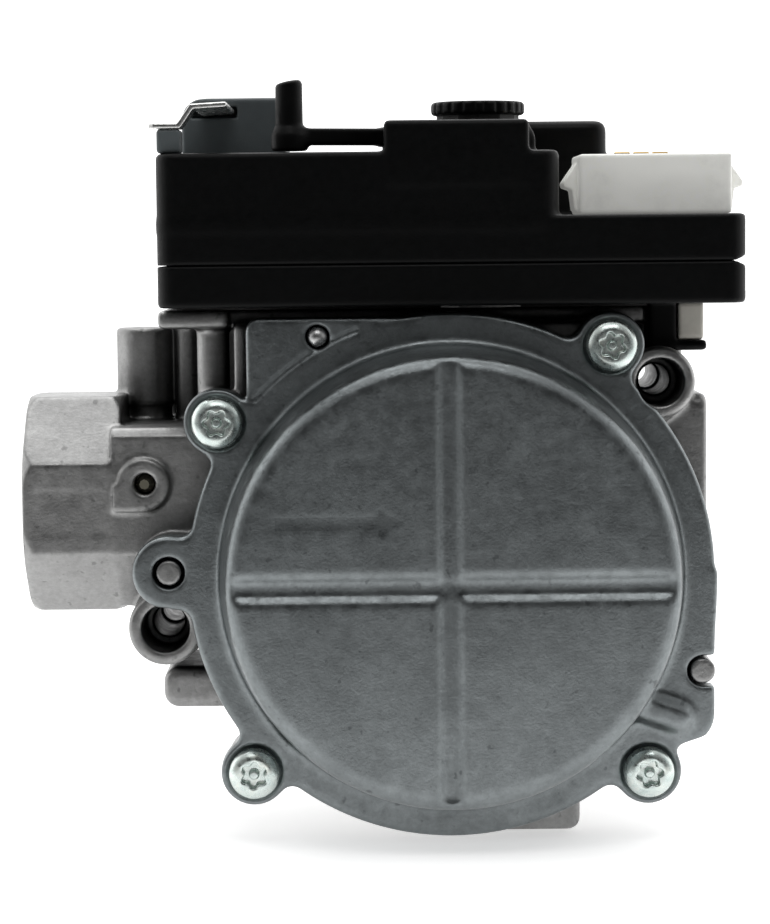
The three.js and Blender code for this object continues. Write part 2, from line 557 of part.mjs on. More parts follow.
const ballPlug = () =>
  solid(new THREE.SphereGeometry(BALL.r, 14, 10).translate(BALL.x, COVER_FACE + 1.1, BALL.z));

const seatLip = () =>
  tube("y", SEAT_BORE + 1, SEAT_BORE, WELL.back - MAIN.lip, WELL.back + 1, COVER.x, COVER.z, 28);

// ---------------------------------------------------------------- inlet screen and pressure tap plugs
function inletScreen() {
  const sheet = rod("x", PIPE_BORE - 0.2, 17.2, 17.8, 0, 0, 32);
  const holes = Array.from({ length: 6 }, (_, i) => {
    const a = (i / 6) * 2 * Math.PI;
    return rod("x", 2.7, 17, 18, 7.3 * Math.cos(a), 7.3 * Math.sin(a), 8);
  });
  return cut(sheet, rod("x", 2.7, 17, 18, 0, 0, 8), ...holes);
}

const inletTapPlug = () => turned("y",
  [[0, -9], [1.5, -9], [1.5, -16.6], [0.8, -17.2], [0.8, -18.2], [0, -18.2]], INLET_TAP.x, INLET_TAP.z, 16);

function outletTapPlug() {
  const { x, y } = OUTLET_TAP;
  const hexagon = [[1.5, -17.35], [3.4, -17.35], [3.4, -19.6]];
  const plug = turned("z", [[0, -9], [1.5, -9], ...hexagon, [0, -19.6]], x, y, 8);
  return cut(plug, rod("z", 0.8, -20, -18, x, y, 8));
}

// ---------------------------------------------------------------- solenoid operators
// Built about an upright line at (x, y): `floor` is the valve seat, `foot` the deck, `r` the coil radius.
function solenoid(name, { x, y, bore, seat, coil }, coilTop) {
  const foot = DECK.top + 0.05;
  const yokeFoot = BASE.bottom + 2.1;
  const coilFoot = yokeFoot + 1.4;
  const guide = bore > 7 ? 4.2 : 3.4;
  const flange = bore + 2.2;
  const frame = coil + 0.3;
  const travel = bore > 7 ? 2 : 1.2;
  const discTop = seat + 4.2;
  const coreBottom = coilTop - 9;
  const plungerTop = coreBottom - travel - 0.3;
  add(`${name}_guide_tube`, turned("z", [
    [guide, foot - 4], [bore - 0.2, foot - 4], [bore - 0.2, foot], [flange, foot], [flange, foot + 1.2],
    [guide + 0.5, foot + 1.2], [guide + 0.5, coilTop + 0.5], [0, coilTop + 0.5], [0, coreBottom],
    [guide, coreBottom], [guide, foot - 4],
  ], x, y, 24), "steel");
  add(`${name}_coil`, turned("z", [
    [guide + 0.8, coilFoot], [coil - 0.6, coilFoot], [coil - 0.6, coilFoot + 1.4], [coil, coilFoot + 1.4],
    [coil, coilTop - 2.6], [coil - 0.6, coilTop - 2.6], [coil - 0.6, coilTop - 1.4],
    [guide + 0.8, coilTop - 1.4], [guide + 0.8, coilFoot],
  ], x, y, 28), "winding");
  const width = coil * 0.7;
  const yoke = cut(
    box(x - frame - 0.9, x + frame + 0.9, y - width, y + width, yokeFoot, coilTop),
    box(x - frame, x + frame, y - width - 1, y + width + 1, yokeFoot + 1.2, coilTop - 1.3),
    rod("z", guide + 0.7, foot, coilTop + 1, x, y, 24),
  );
  add(`${name}_yoke`, yoke, "steel");
  add(`${name}_plunger`, cut(
    rod("z", guide - FIT * 2, discTop, plungerTop, x, y, 20),
    rod("z", guide - 1.5, plungerTop - 5, plungerTop + 1, x, y, 16),
    rod("z", 1.2, discTop - 1, discTop + 2.2, x, y, 12),
  ), "steel");
  add(`${name}_seal`, join(
    rod("z", bore - 1.4, seat + FIT, discTop - FIT, x, y, 24),
    rod("z", 1.1, discTop - 1, discTop + 2, x, y, 12),
  ), "rubber");
  add(`${name}_spring`, spring("z", guide - 2.1, 0.3, plungerTop - 4.9, coreBottom - FIT, 5, x, y), "spring");
}

// ---------------------------------------------------------------- servo regulator
function regulator() {
  const { x, y, r, bore } = REGULATOR;
  const foot = DECK.top + 0.05;
  const screwR = bore - 0.2; // turns clear of the flats of the bore
  add("regulator_body", turned("z", [
    [2.4, foot], [9, foot], [9, foot + 2.6], [r, foot + 3.4], [r, 60], [r - 0.4, 60.6], [bore, 60.6],
    [bore, foot + 5.4], [3.2, foot + 5.4], [3.2, foot + 2], [2.4, foot + 2], [2.4, foot],
  ], x, y, 28), "casting");
  add("regulator_diaphragm", turned("z", [
    [0, foot + 5.5], [bore - 0.2, foot + 5.5], [bore - 0.2, foot + 6.1], [3.6, foot + 6.1], [3.2, foot + 6.7],
    [0, foot + 6.7],
  ], x, y, 20), "rubber");
  add("regulator_spring", spring("z", 3.4, 0.4, foot + 7.3, 50, 7, x, y), "spring");
  add("spring_seat", turned("z", [
    [0, 50.1], [bore - 0.15, 50.1], [bore - 0.15, 51.8], [2, 51.8], [2, 52.6], [0, 52.6],
  ], x, y, 20), "brass");
  add("adjusting_screw", cut(
    turned("z", [[0, 52.65], [screwR, 52.65], [screwR, 57], [screwR - 0.6, 57.5], [0, 57.5]], x, y, 28),
    box(x - 4, x + 4, y - 0.6, y + 0.6, 56.2, 58),
  ), "brass");
  add("cap_gasket", tube("z", r - 0.3, bore + 0.2, 60.65, 61.35, x, y, 24), "rubber");
  add("regulator_cap", cut(
    turned("z", [
      [0, CAP.bottom], [CAP.r, CAP.bottom], [CAP.r, CAP.top - 0.9], [CAP.r - 0.9, CAP.top], [0, CAP.top],
    ], x, y, 32).add(rod("z", bore - 0.3, CAP.plug, CAP.bottom + 0.2, x, y, 24)),
    box(x - 5.4, x + 5.4, y - 0.8, y + 0.8, CAP.top - 1.2, CAP.top + 1),
    ...Array.from({ length: 12 }, (_, i) => {
      const a = ((i + 0.5) / 12) * 2 * Math.PI;
      const out = CAP.r + 0.2;
      return rod("z", 0.55, CAP.bottom - 0.4, CAP.top - 0.5, x + out * Math.cos(a), y + out * Math.sin(a), 8);
    }),
  ), "blackPlastic");
}

// ---------------------------------------------------------------- plastic housing
// Plan outline of the housing: the main box with its low wing on the right.
function housingPlan(inset) {
  const { left, right, front, back } = HOUSING;
  const s = new THREE.Shape();
  const r = Math.max(3 - inset, 0.8);
  const x0 = left + inset;
  const x1 = right - inset;
  const x2 = SLAB.right - inset;
  const y0 = front + inset;
  const y1 = back - inset;
  const y2 = SLAB.back - inset;
  s.moveTo(x0 + r, y0);
  s.lineTo(x2 - r, y0);
  s.absarc(x2 - r, y0 + r, r, -Math.PI / 2, 0, false);
  s.lineTo(x2, y2 - r);
  s.absarc(x2 - r, y2 - r, r, 0, Math.PI / 2, false);
  s.lineTo(x1, y2);
  s.lineTo(x1, y1 - r);
  s.absarc(x1 - r, y1 - r, r, 0, Math.PI / 2, false);
  s.lineTo(x0 + r, y1);
  s.absarc(x0 + r, y1 - r, r, Math.PI / 2, Math.PI, false);
  s.lineTo(x0, y0 + r);
  s.absarc(x0 + r, y0 + r, r, Math.PI, 1.5 * Math.PI, false);
  return s;
}

function housingGasket() {
  const sheet = prism("z", rounded(24, 106, -16.5, 25, 3), DECK.top, DECK.top + GASKET_T - 0.05, 4);
  return cut(sheet,
    rod("z", PRIMARY.bore + 2.6, 30, 33, PRIMARY.x, PRIMARY.y, 24),
    rod("z", SERVO.bore + 2.6, 30, 33, SERVO.x, SERVO.y, 24),
    rod("z", 9.4, 30, 33, REGULATOR.x, REGULATOR.y, 24),
    hookNotch(30, 33),
    ...HOUSING_SCREWS.map(([x, y]) => rod("z", SMALL_SCREW.shank + 0.3, 30, 33, x, y, 18)),
  );
}

// Open to the front, so that the hook and its wedge can be reached with the housing in place.
const hookNotch = (z0, z1) => box(HOOK.left - 0.5, 110, DECK.front - 1, HOOK.back + 0.5, z0, z1);

function housingBase() {
  const shell = cut(
    prism("z", housingPlan(0), BASE.bottom, BASE.top, 4),
    prism("z", housingPlan(HOUSING.wall), BASE.bottom + 2, BASE.top + 1, 3),
  );
  const posts = HOUSING_SCREWS.map(([x, y]) => rod("z", 3.4, BASE.bottom, BASE.top, x, y, 16));
  const hook = join(
    box(HOOK.left, HOOK.right, HOOK.front, HOOK.back, HOOK.foot, BASE.bottom + 1),
    box(HOOK.left, 108.6, HOOK.front, HOOK.back, HOOK.foot, HOOK.foot + 1.6),
  );
  const tongue = cut(
    prism("z", housingPlan(TONGUE.outer), BASE.bottom + 1, BASE.top + TONGUE.rise, 3),
    prism("z", housingPlan(TONGUE.inner), BASE.bottom, BASE.top + TONGUE.rise + 1, 3),
    ...HOUSING_SCREWS.map(([x, y]) => rod("z", 4.9, BASE.top, BASE.top + TONGUE.rise + 1, x, y, 16)),
  );
  return cut(join(shell, tongue, ...posts, hook),
    rod("z", PRIMARY.bore + 2.5, 31, 35, PRIMARY.x, PRIMARY.y, 24),
    rod("z", SERVO.bore + 2.5, 31, 35, SERVO.x, SERVO.y, 24),
    rod("z", 9.3, 31, 35, REGULATOR.x, REGULATOR.y, 28),
    ...HOUSING_SCREWS.map(([x, y]) => rod("z", SMALL_SCREW.shank + 0.3, 30, 40, x, y, 18)),
    // lower half of the V groove along the right end of the parting line
    prism("y", polygon([[SLAB.right + 1, BASE.top + 0.5], [SLAB.right + 1, BASE.top - 1.1],
      [SLAB.right - 1.7, BASE.top], [SLAB.right - 1.7, BASE.top + 0.5]]), HOUSING.front - 1, SLAB.back + 1),
  );
}

function topCover() {
  const { wall, top, left, step, right, front, back } = HOUSING;
  const bottom = BASE.top + PART_GAP;
  const low = prism("z", housingPlan(0), bottom, SLAB.top, 4);
  const main = prism("z", rounded(left, step, front, back, 3), SLAB.top - 1, top, 4);
  const rear = prism("z", rounded(76, right, COIL_DOME.front, back, [0, 0, 3, 0]), SLAB.top - 1, top, 4);
  const block = join(
    prism("z", rounded(BLOCK.left, BLOCK.right, front, BLOCK.back, 0.5), top - 1, BLOCK.top, 2),
    prism("y", polygon([
      [BLOCK.right - 1, top - 1], [BLOCK.right - 1, BLOCK.top], [BLOCK.right + 1.2, BLOCK.top - 2.4],
      [BLOCK.right + 1.2, top - 1],
    ]), front + 4, BLOCK.back),
  );
  const dome = prism("z", rounded(COIL_DOME.left, COIL_DOME.right, COIL_DOME.front, COIL_DOME.back, 3),
    top - 1, COIL_DOME.top, 4);
  const roundTop = rounded(COIL_DOME.left - 1, COIL_DOME.right, top - 3, COIL_DOME.top, [0, 0, 2, 0]);
  const domeRound = prism("y", roundTop, COIL_DOME.front - 1, COIL_DOME.back + 1, 4);
  const shell = join(low, main, rear, block, dome.intersect(domeRound));
  const hollow = join(
    prism("z", housingPlan(wall), bottom - 1, SLAB.top - wall, 3),
    prism("z", rounded(left + wall, step - wall, front + wall, back - wall, 1.4), bottom, top - wall, 3),
    prism("z", rounded(76, right - wall, COIL_DOME.front + wall, back - wall, [0, 0, 1.4, 0]),
      bottom, top - wall, 3),
    box(BLOCK.left + 1.4, BLOCK.right - 1.4, front + wall, BLOCK.back - 1.4, top - wall - 1, BLOCK.top - 1.2),
    box(COIL_DOME.left + 1.4, COIL_DOME.right - 1.6, COIL_DOME.front + 1.4, COIL_DOME.back - 1.4,
      top - wall - 1, COIL_DOME.top - 1.4),
  );
  const posts = HOUSING_SCREWS.map(([x, y], i) =>
    rod("z", 4.4, bottom, HOUSING_SCREW_SEATS[i], x, y, 18));
  const leverSlot = box(BLOCK.left - 1, LEVER.x + 5.2, front + wall + 0.6, BLOCK.back - 1.4,
    top + 0.15, LEVER.high + 0.4);
  return cut(join(cut(shell, hollow), ...posts),
    leverSlot,
    rod("z", ROTOR_HUB + 0.4, top - 3, top + 1, LEVER.x, LEVER.y, 20),
    rod("z", REGULATOR.r + 0.4, top - 4, BLOCK.top + 2, REGULATOR.x, REGULATOR.y, 28),
    // well for the connector, pin openings in its floor
    ...PINS.map((x) => rod("z", PIN_HOLE, SLAB.top - 3, SLAB.top + 1, x, PIN_Y, 12)),
    ...HOUSING_SCREWS.map(([x, y]) => rod("z", SMALL_SCREW.shank + 0.3, bottom - 1, top + 1, x, y, 18)),
    ...HOUSING_SCREWS.map(([x, y], i) =>
      rod("z", SMALL_SCREW.head + 0.5, HOUSING_SCREW_SEATS[i] - SMALL_SCREW.recess, top + 1, x, y, 18)),
    prism("y", polygon([[SLAB.right + 1, bottom - 1], [SLAB.right - 1.7, bottom - 1],
      [SLAB.right - 1.7, bottom], [SLAB.right + 1, bottom + 1.1]]), HOUSING.front - 1, SLAB.back + 1),
  );
}

function terminalBlock() {
  const { left, right, front, back, top } = TERMINAL_BLOCK;
  const bottom = HOUSING.top + 0.05;
  const shape = rounded(left, right, bottom, top, [0.4, 0.4, 0.8, 3.6]);
  const slots = [left + 5, left + 12].map((x) => box(x, x + 4, front + 6, front + 9, top - 7, top + 1));
  const stripSlot = box(TERMINAL.left + 5, TERMINAL.left + 12.5, front - 1, TERMINAL.back + 0.5,
    TERMINAL.high - 0.3, TERMINAL.high + 1.5);
  return cut(prism("y", shape, front, back, 5), ...slots, stripSlot);
}

// The post under the tab of the ground terminal, standing on the top cover.
const terminalPost = () => prism("z", rounded(22.9, 26.6, TERMINAL.front + 0.2, TERMINAL.front + 6.2, 1),
  HOUSING.top + 0.05, 59.1, 4);

// A Z-bent strip: its tab points left over the post, its wide upper arm runs back into the terminal block.
function groundTerminal() {
  const { left, front, tab, back, t, low, high } = TERMINAL;
  const bend = prism("y", polygon([
    [left, low], [left + 4.9, low], [left + 6.9, high], [left + 12, high + 0.3], [left + 12, high + 0.3 + t],
    [left + 6.4, high + t], [left + 4.4, low + t], [left, low + t],
  ]), front, front + tab);
  const arm = prism("y", polygon([
    [left + 6.9, high], [left + 12, high + 0.3], [left + 12, high + 0.3 + t], [left + 6.4, high + t],
  ]), front + tab - 0.1, back);
  return cut(join(bend, arm), rod("z", 0.8, low - 1, low + 2, left + 2.2, front + tab / 2, 10));
}

function connectorHeader() {
  const { left, right, front, back, top } = CONNECTOR;
  const bottom = SLAB.top + 0.05;
  const wall = 1.3;
  const wing = (side) => {
    const edge = side < 0 ? left : right;
    return prism("y", polygon([
      [edge - side * 0.6, top - 0.2], [edge + side * 2.4, top - 4.4], [edge + side * 2.2, top - 5.2],
      [edge + side * 1, top - 5.6], [edge + side * 0.6, bottom + 0.6], [edge - side * 0.6, bottom],
    ]), front + 4, back - 4);
  };
  const shell = join(
    prism("z", rounded(left, right, front, back, 0.8), bottom, top, 3), wing(-1), wing(1),
  );
  return cut(shell,
    prism("z", rounded(left + wall, right - wall, front + wall, back - wall, 0.5), bottom + 1.6, top + 1, 2),
    ...PINS.map((x) => rod("z", PIN_HOLE, bottom - 1, bottom + 3, x, PIN_Y, 12)));
}

function connectorPin(x) {
  const { half, tang, t, foot, top } = BLADE;
  return join(
    prism("z", rounded(x - tang, x + tang, PIN_Y - t, PIN_Y + t, 0.3), 40, foot + 0.1, 2),
    prism("z", rounded(x - half, x + half, PIN_Y - t, PIN_Y + t, 0.3), foot, top, 2),
  );
}

function retainerWedge() {
  const x0 = HOOK.right + GAP;
  return prism("x", rounded(HOOK.front + 0.4, HOOK.back - 0.4, HOOK.foot + 1.6 + 0.1, BASE.bottom - 0.1, 0.8),
    x0, 108.1, 3);
}

function circuitBoard() {
  const plate = prism("z", rounded(64, 110.4, -26.4, 1.5, 1), 41.4, 43, 3);
  return cut(plate,
    rod("z", REGULATOR.r + 0.6, 41, 44, REGULATOR.x, REGULATOR.y, 24),
    ...PINS.map((x) => rod("z", PIN_HOLE, 41, 44, x, PIN_Y, 12)),
    rod("z", 4.8, 41, 44, HOUSING_SCREWS[1][0], HOUSING_SCREWS[1][1], 16));
}

// ---------------------------------------------------------------- on/off lever
const PEG_ANGLE = THREE.MathUtils.degToRad(198);
const PEG = {
  x: LEVER.x + LEVER.arm * Math.cos(PEG_ANGLE),
  y: LEVER.y + LEVER.arm * Math.sin(PEG_ANGLE),
};

function switchLever() {
  const { x, y, peg, top, low, high } = LEVER;
  return join(
    rod("z", 4.6, low, high, x, y, 20),
    prism("z", bar(x, y, PEG.x, PEG.y, 2), low, high, 6),
    turned("z", [
      [0, low - 0.9], [2.8, low - 0.9], [2.8, low + 1.6], [peg, high + 0.3], [peg, top - 0.6],
      [peg - 0.6, top], [0, top],
    ], PEG.x, PEG.y, 18),
  );
}

function switchRotor() {
  const { x, y } = LEVER;
  return join(
    rod("z", ROTOR_HUB, 46, LEVER.low - FIT, x, y, 18),
    prism("z", bar(x, y, x - 6, y, 1.6), 46, 48.5, 5),
  );
}

// The microswitch that the rotor's cam closes, with a recess for its actuator.
const switchBlock = () => cut(
  prism("z", rounded(44, 57, -26.4, -8, 1), BASE.bottom + 2.05, 45.6, 3),
  box(47, 54, -24, -11, 43.8, 46));

// ---------------------------------------------------------------- assembly
add("valve_body", join(valveBody(), seatLip()), "casting");
add("diaphragm_cover", diaphragmCover(), "casting");
BOLTS.forEach(([x, z], i) => add(`cover_screw_${i + 1}`, coverScrew(x, z), "screwSteel"));
add("ball_plug", ballPlug(), "steel");
add("diaphragm", diaphragm(), "rubber");
add("diaphragm_plate", diaphragmPlate(), "casting");
add("backing_plate", backingPlate(), "steel");
add("main_valve_stem", mainStem(), "steel");
add("main_valve_disc", mainDisc(), "casting");
add("main_valve_seal", mainSeal(), "rubber");
add("main_spring", mainSpring(), "spring");
add("inlet_screen", inletScreen(), "steel");
add("inlet_tap_plug", inletTapPlug(), "brass");
add("outlet_tap_plug", outletTapPlug(), "brass");
solenoid("primary", PRIMARY, 52);
solenoid("servo", SERVO, 57.5);
regulator();
add("housing_gasket", housingGasket(), "rubber");
add("housing_base", housingBase(), "blackPlastic");
add("top_cover", topCover(), "blackPlastic");
HOUSING_SCREWS.forEach(([x, y], i) =>
  add(`housing_screw_${i + 1}`, smallScrew(x, y, HOUSING_SCREW_SEATS[i]), "screwSteel"));
add("terminal_block", terminalBlock(), "greyPlastic");
add("terminal_post", terminalPost(), "greyPlastic");
add("ground_terminal", groundTerminal(), "tin");
add("connector_header", connectorHeader(), "whiteNylon");
PINS.forEach((x, i) => add(`connector_pin_${i + 1}`, connectorPin(x), "brass"));
add("retainer_wedge", retainerWedge(), "beigeNylon");
add("circuit_board", circuitBoard(), "board");
add("switch_block", switchBlock(), "greyPlastic");
add("switch_rotor", switchRotor(), "blackPlastic");
add("switch_lever", switchLever(), "blackPlastic");

export default group;
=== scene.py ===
"""The looks of a furnace gas valve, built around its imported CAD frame.

Shapes are modelled in millimetres as signed distances on a grid (class Clay), which gives cast
and moulded parts their soft fillets, and are then skinned with a mesh in metres.
The frame: the inlet face is at X 0, +X is the gas flow, +Z is up, and the diaphragm cover faces -Y.
"""

import json
import math

import bpy
import numpy as np
from mathutils import Matrix, Vector


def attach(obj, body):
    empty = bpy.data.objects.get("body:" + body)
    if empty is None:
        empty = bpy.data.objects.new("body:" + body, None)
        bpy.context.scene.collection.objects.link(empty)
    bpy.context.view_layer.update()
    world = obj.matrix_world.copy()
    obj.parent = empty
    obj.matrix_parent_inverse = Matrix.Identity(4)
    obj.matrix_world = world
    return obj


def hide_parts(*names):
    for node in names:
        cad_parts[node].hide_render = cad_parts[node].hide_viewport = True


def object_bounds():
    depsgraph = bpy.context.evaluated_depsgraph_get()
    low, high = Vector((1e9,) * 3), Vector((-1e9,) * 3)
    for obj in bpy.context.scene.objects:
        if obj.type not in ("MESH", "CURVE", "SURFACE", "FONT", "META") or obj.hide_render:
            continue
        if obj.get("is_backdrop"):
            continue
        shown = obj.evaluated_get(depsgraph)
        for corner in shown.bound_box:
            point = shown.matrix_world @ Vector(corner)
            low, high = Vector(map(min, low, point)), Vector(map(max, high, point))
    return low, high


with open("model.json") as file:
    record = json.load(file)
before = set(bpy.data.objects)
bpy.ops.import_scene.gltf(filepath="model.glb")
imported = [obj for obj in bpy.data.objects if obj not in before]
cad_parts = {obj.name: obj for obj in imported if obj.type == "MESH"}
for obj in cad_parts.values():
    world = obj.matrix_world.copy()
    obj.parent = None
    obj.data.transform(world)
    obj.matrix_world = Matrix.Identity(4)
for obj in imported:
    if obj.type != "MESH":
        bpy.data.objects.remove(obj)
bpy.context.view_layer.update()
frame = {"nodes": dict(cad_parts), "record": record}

MM = 0.001
FAR = 1e3  # a distance larger than any part
REACH = 3.5  # how far around a shape its distances are worked out; more than any fillet

# ---------------------------------------------------------------- driving sizes, mm
COVER_X, COVER_Z, COVER_R = 67.4, -10.0, 40.8
BODY_FACE = -22.0
COVER_BACK = -22.8
COVER_FACE = -27.3
DOME_FACE = -39.2
DOME_BASE_R, DOME_TOP_R = 35.9, 34.6
BOLT_CIRCLE = 43.3
BOLT_ANGLES = (146, 55, 224.5, 314.6)
EAR_R, PIN_EAR_R = 5.2, 5.7
# cross groove: its centre lines, half widths at the top and the floor, and depth
GROOVE_X, GROOVE_Z, GROOVE_HALF, GROOVE_FLOOR, GROOVE_DEPTH = 66.9, -10.4, 2.05, 0.95, 1.0
GROOVE_REACH = 33.2
# flow arrow: left end, start and tip of the head, middle, half widths of the head and the shaft
ARROW_LEFT, ARROW_NECK, ARROW_TIP, ARROW_Z, ARROW_HALF, ARROW_SHAFT = 40.6, 56.1, 60.1, -0.4, 2.1, 1.0
# places seen from the front, as X and Z
LEFT_PIN, RIGHT_PIN = (23.7, -9.0), (106.3, -25.2)
LEFT_HOLE, RIGHT_HOLE = (22.7, -18.4), (100.3, 19.4)
BALL, BALL_R = (47.1, 27.2), 1.6
PASSAGE = (96, -30.2, 102.4, -32.4)  # from one end to the other
HOLE_SHADE_RADIUS = 2.7  # painted shade: the mounting holes are painted near black inside this radius
EAR_BACK = 20  # the ears' and the pads' faces are places along Y
PADS, PAD_Z, PAD_FACE = (48, 87), -26, 24
# casting
PIPE_BORE, PIPE_CHAMFER = 12.1, 13.6
BODY_LENGTH = 108.2
ACROSS_FLATS, BOSS_LENGTH = 34.6, 15.4
DECK_BOTTOM, DECK_TOP = 28.3, 31.2
WALL_TOP = 29  # reaches into the deck
TAP_POST, OUTLET_TAP = (18.3, 6), (104.4, 4)  # X and Y, bored upright
INLET_TAP = (19.5, 4)  # X and Z, bored from the front
TAP_BORE = 1.65
VALVE_SEAT = 8.5
# housing, its heights first; places on it are X and Y
BASE_BOTTOM, BASE_TOP = 31.8, 38.2
COVER_BOTTOM = 38.35
SLAB_TOP, MAIN_TOP, BLOCK_TOP = 45.5, 55.4, 60.1
HOUSING_LEFT, HOUSING_RIGHT, HOUSING_FRONT, HOUSING_BACK = 22.7, 113, -29, 30
MAIN_RIGHT, SLAB_BACK = 96, 8
WALL = 1.8
PRIMARY, PRIMARY_BORE = (41, 10), 7.5
SERVO, SERVO_BORE = (82.5, 13.5), 5.6
REGULATOR, REGULATOR_R = (72.7, -10), 6.8
LEVER, LEVER_LENGTH, LEVER_ANGLE = (61.5, -14), 19.4, math.radians(198)
PEG = (LEVER[0] + LEVER_LENGTH * math.cos(LEVER_ANGLE), LEVER[1] + LEVER_LENGTH * math.sin(LEVER_ANGLE))
HOUSING_SCREWS = [(52, 24, MAIN_TOP), (100.5, 2.5, SLAB_TOP), (30.3, -12, MAIN_TOP)]
SCREW_TIP = 21.5
PINS, PIN_Y, PIN_HOLE = (95.4, 98.4, 101.4), -12, 1.15


def around(radius, degrees):
    """A place on a circle about the diaphragm cover's axis."""
    a = math.radians(degrees)
    return COVER_X + radius * math.cos(a), COVER_Z + radius * math.sin(a)


BOLTS = [around(BOLT_CIRCLE, angle) for angle in BOLT_ANGLES]


# ---------------------------------------------------------------- outlines in a plane
def bounded(distance, *span):
    """Marks a distance function with the bounds of the shape that it describes."""
    distance.span = span
    return distance


def disc(cu, cv, r):
    return bounded(lambda u, v: np.hypot(u - cu, v - cv) - r, cu - r, cu + r, cv - r, cv + r)


def rect(u0, u1, v0, v1, r=0.0):
    def distance(u, v):
        a = np.abs(u - (u0 + u1) / 2) - (u1 - u0) / 2 + r
        b = np.abs(v - (v0 + v1) / 2) - (v1 - v0) / 2 + r
        return np.minimum(np.maximum(a, b), 0) + np.hypot(np.maximum(a, 0), np.maximum(b, 0)) - r
    return bounded(distance, u0, u1, v0, v1)


def bar(u0, v0, u1, v1, r):
    du, dv = u1 - u0, v1 - v0

    def distance(u, v):
        t = np.clip(((u - u0) * du + (v - v0) * dv) / (du * du + dv * dv), 0, 1)
        return np.hypot(u - u0 - t * du, v - v0 - t * dv) - r
    return bounded(distance, min(u0, u1) - r, max(u0, u1) + r, min(v0, v1) - r, max(v0, v1) + r)


def polygon(points):
    """The exact distance to a closed outline of straight sides."""
    def distance(u, v):
        nearest = np.float32(FAR * FAR)
        sign = np.float32(1)
        for (au, av), (bu, bv) in zip(points, points[1:] + points[:1]):
            eu, ev = bu - au, bv - av
            wu, wv = u - au, v - av
            t = np.clip((wu * eu + wv * ev) / (eu * eu + ev * ev), 0, 1)
            nearest = np.minimum(nearest, (wu - t * eu) ** 2 + (wv - t * ev) ** 2)
            above, below = v >= av, v < bv
            left = eu * wv > ev * wu
            crosses = (above & below & left) | (~above & ~below & ~left)
            sign = np.where(crosses, -sign, sign)
        return sign * np.sqrt(nearest)
    us, vs = zip(*points)
    return bounded(distance, min(us), max(us), min(vs), max(vs))


def united(a, b, r):
    """Two distances joined, with a concave fillet of radius r between them."""
    if r <= 0:
        return np.minimum(a, b)
    return np.maximum(r, np.minimum(a, b)) - np.hypot(np.maximum(r - a, 0), np.maximum(r - b, 0))


def kept(a, b, r):
    """What two distances share, with a rounded edge of radius r."""
    if r <= 0:
        return np.maximum(a, b)
    return np.minimum(-r, np.maximum(a, b)) + np.hypot(np.maximum(r + a, 0), np.maximum(r + b, 0))


def together(*outlines, fillet=0.0):
    def distance(u, v):
        d = outlines[0](u, v)
        for other in outlines[1:]:
            d = united(d, other(u, v), fillet)
        return d
    u0, u1, v0, v1 = zip(*(outline.span for outline in outlines))
    return bounded(distance, min(u0), max(u1), min(v0), max(v1))


def without(outline, *holes):
    def distance(u, v):
        d = outline(u, v)
        for hole in holes:
            d = np.maximum(d, -hole(u, v))
        return d
    return bounded(distance, *outline.span)


# ---------------------------------------------------------------- solids
ACROSS = {"x": (1, 2, 0), "y": (0, 2, 1), "z": (0, 1, 2)}  # the two plane coordinates, then the axis


def in_space(distance, axis, span, t0, t1):
    """Marks a solid with its bounds, given in the plane across an axis and along it."""
    first, second, along = ACROSS[axis]
    distance.span = [None] * 3
    distance.span[first] = span[:2]
    distance.span[second] = span[2:]
    distance.span[along] = (t0, t1)
    return distance


def pushed(axis, outline, t0, t1, edge=0.0):
    """An outline extruded between two places on an axis, its end edges rounded."""
    low, high = min(t0, t1), max(t0, t1)

    def distance(p):
        u, v, t = (p[i] for i in ACROSS[axis])
        a = outline(u, v) + edge
        b = np.abs(t - (low + high) / 2) - (high - low) / 2 + edge
        return np.minimum(np.maximum(a, b), 0) + np.hypot(np.maximum(a, 0), np.maximum(b, 0)) - edge
    return in_space(distance, axis, outline.span, low, high)


def rod(axis, a, b, r, t0, t1, edge=0.0):
    return pushed(axis, disc(a, b, r), t0, t1, edge)


def lathed(axis, a, b, profile):
    """A closed profile of (radius, place) pairs turned about a line along an axis."""
    outline = polygon([tuple(map(float, point)) for point in profile])

    def distance(p):
        u, v, t = (p[i] for i in ACROSS[axis])
        return outline(np.hypot(u - a, v - b), t)
    _, r, t0, t1 = outline.span
    return in_space(distance, axis, (a - r, a + r, b - r, b + r), t0, t1)


def block(x0, x1, y0, y1, z0, z1, edge=0.0):
    return pushed("z", rect(x0, x1, y0, y1, edge), z0, z1, edge)


class Clay:
    """A solid on a grid of signed distances in mm, shaped by adding, cutting and softening."""

    def __init__(self, low, high, step):
        self.step = step
        self.low = np.array(low, float) - 3 * step
        self.count = np.ceil((np.array(high, float) + 3 * step - self.low) / step).astype(int) + 1
        self.axes = [(self.low[i] + step * np.arange(self.count[i])).astype(np.float32) for i in range(3)]
        self.d = np.full(self.count, FAR, np.float32)

    def _window(self, shape):
        """The part of the grid that a shape can change, and its coordinates."""
        spans = [slice(*np.searchsorted(self.axes[i], (low - REACH, high + REACH)))
                 for i, (low, high) in enumerate(shape.span)]
        p = [self.axes[i][spans[i]].reshape([-1 if j == i else 1 for j in range(3)]) for i in range(3)]
        return tuple(spans), p

    def add(self, shape, fillet=0.0):
        spans, p = self._window(shape)
        self.d[spans] = united(self.d[spans], shape(p), fillet)
        return self

    def cut(self, shape, fillet=0.0):
        spans, p = self._window(shape)
        self.d[spans] = kept(self.d[spans], -shape(p), fillet)
        return self

    def soften(self, passes=1):
        """Rounds every edge a little, as a die or a mould does."""
        self.d = np.clip(self.d, -4 * self.step, 4 * self.step)
        for _ in range(passes):
            for axis in range(3):
                d = np.moveaxis(self.d, axis, 0)
                d[1:-1] = (d[:-2] + 2 * d[1:-1] + d[2:]) / 4
        return self


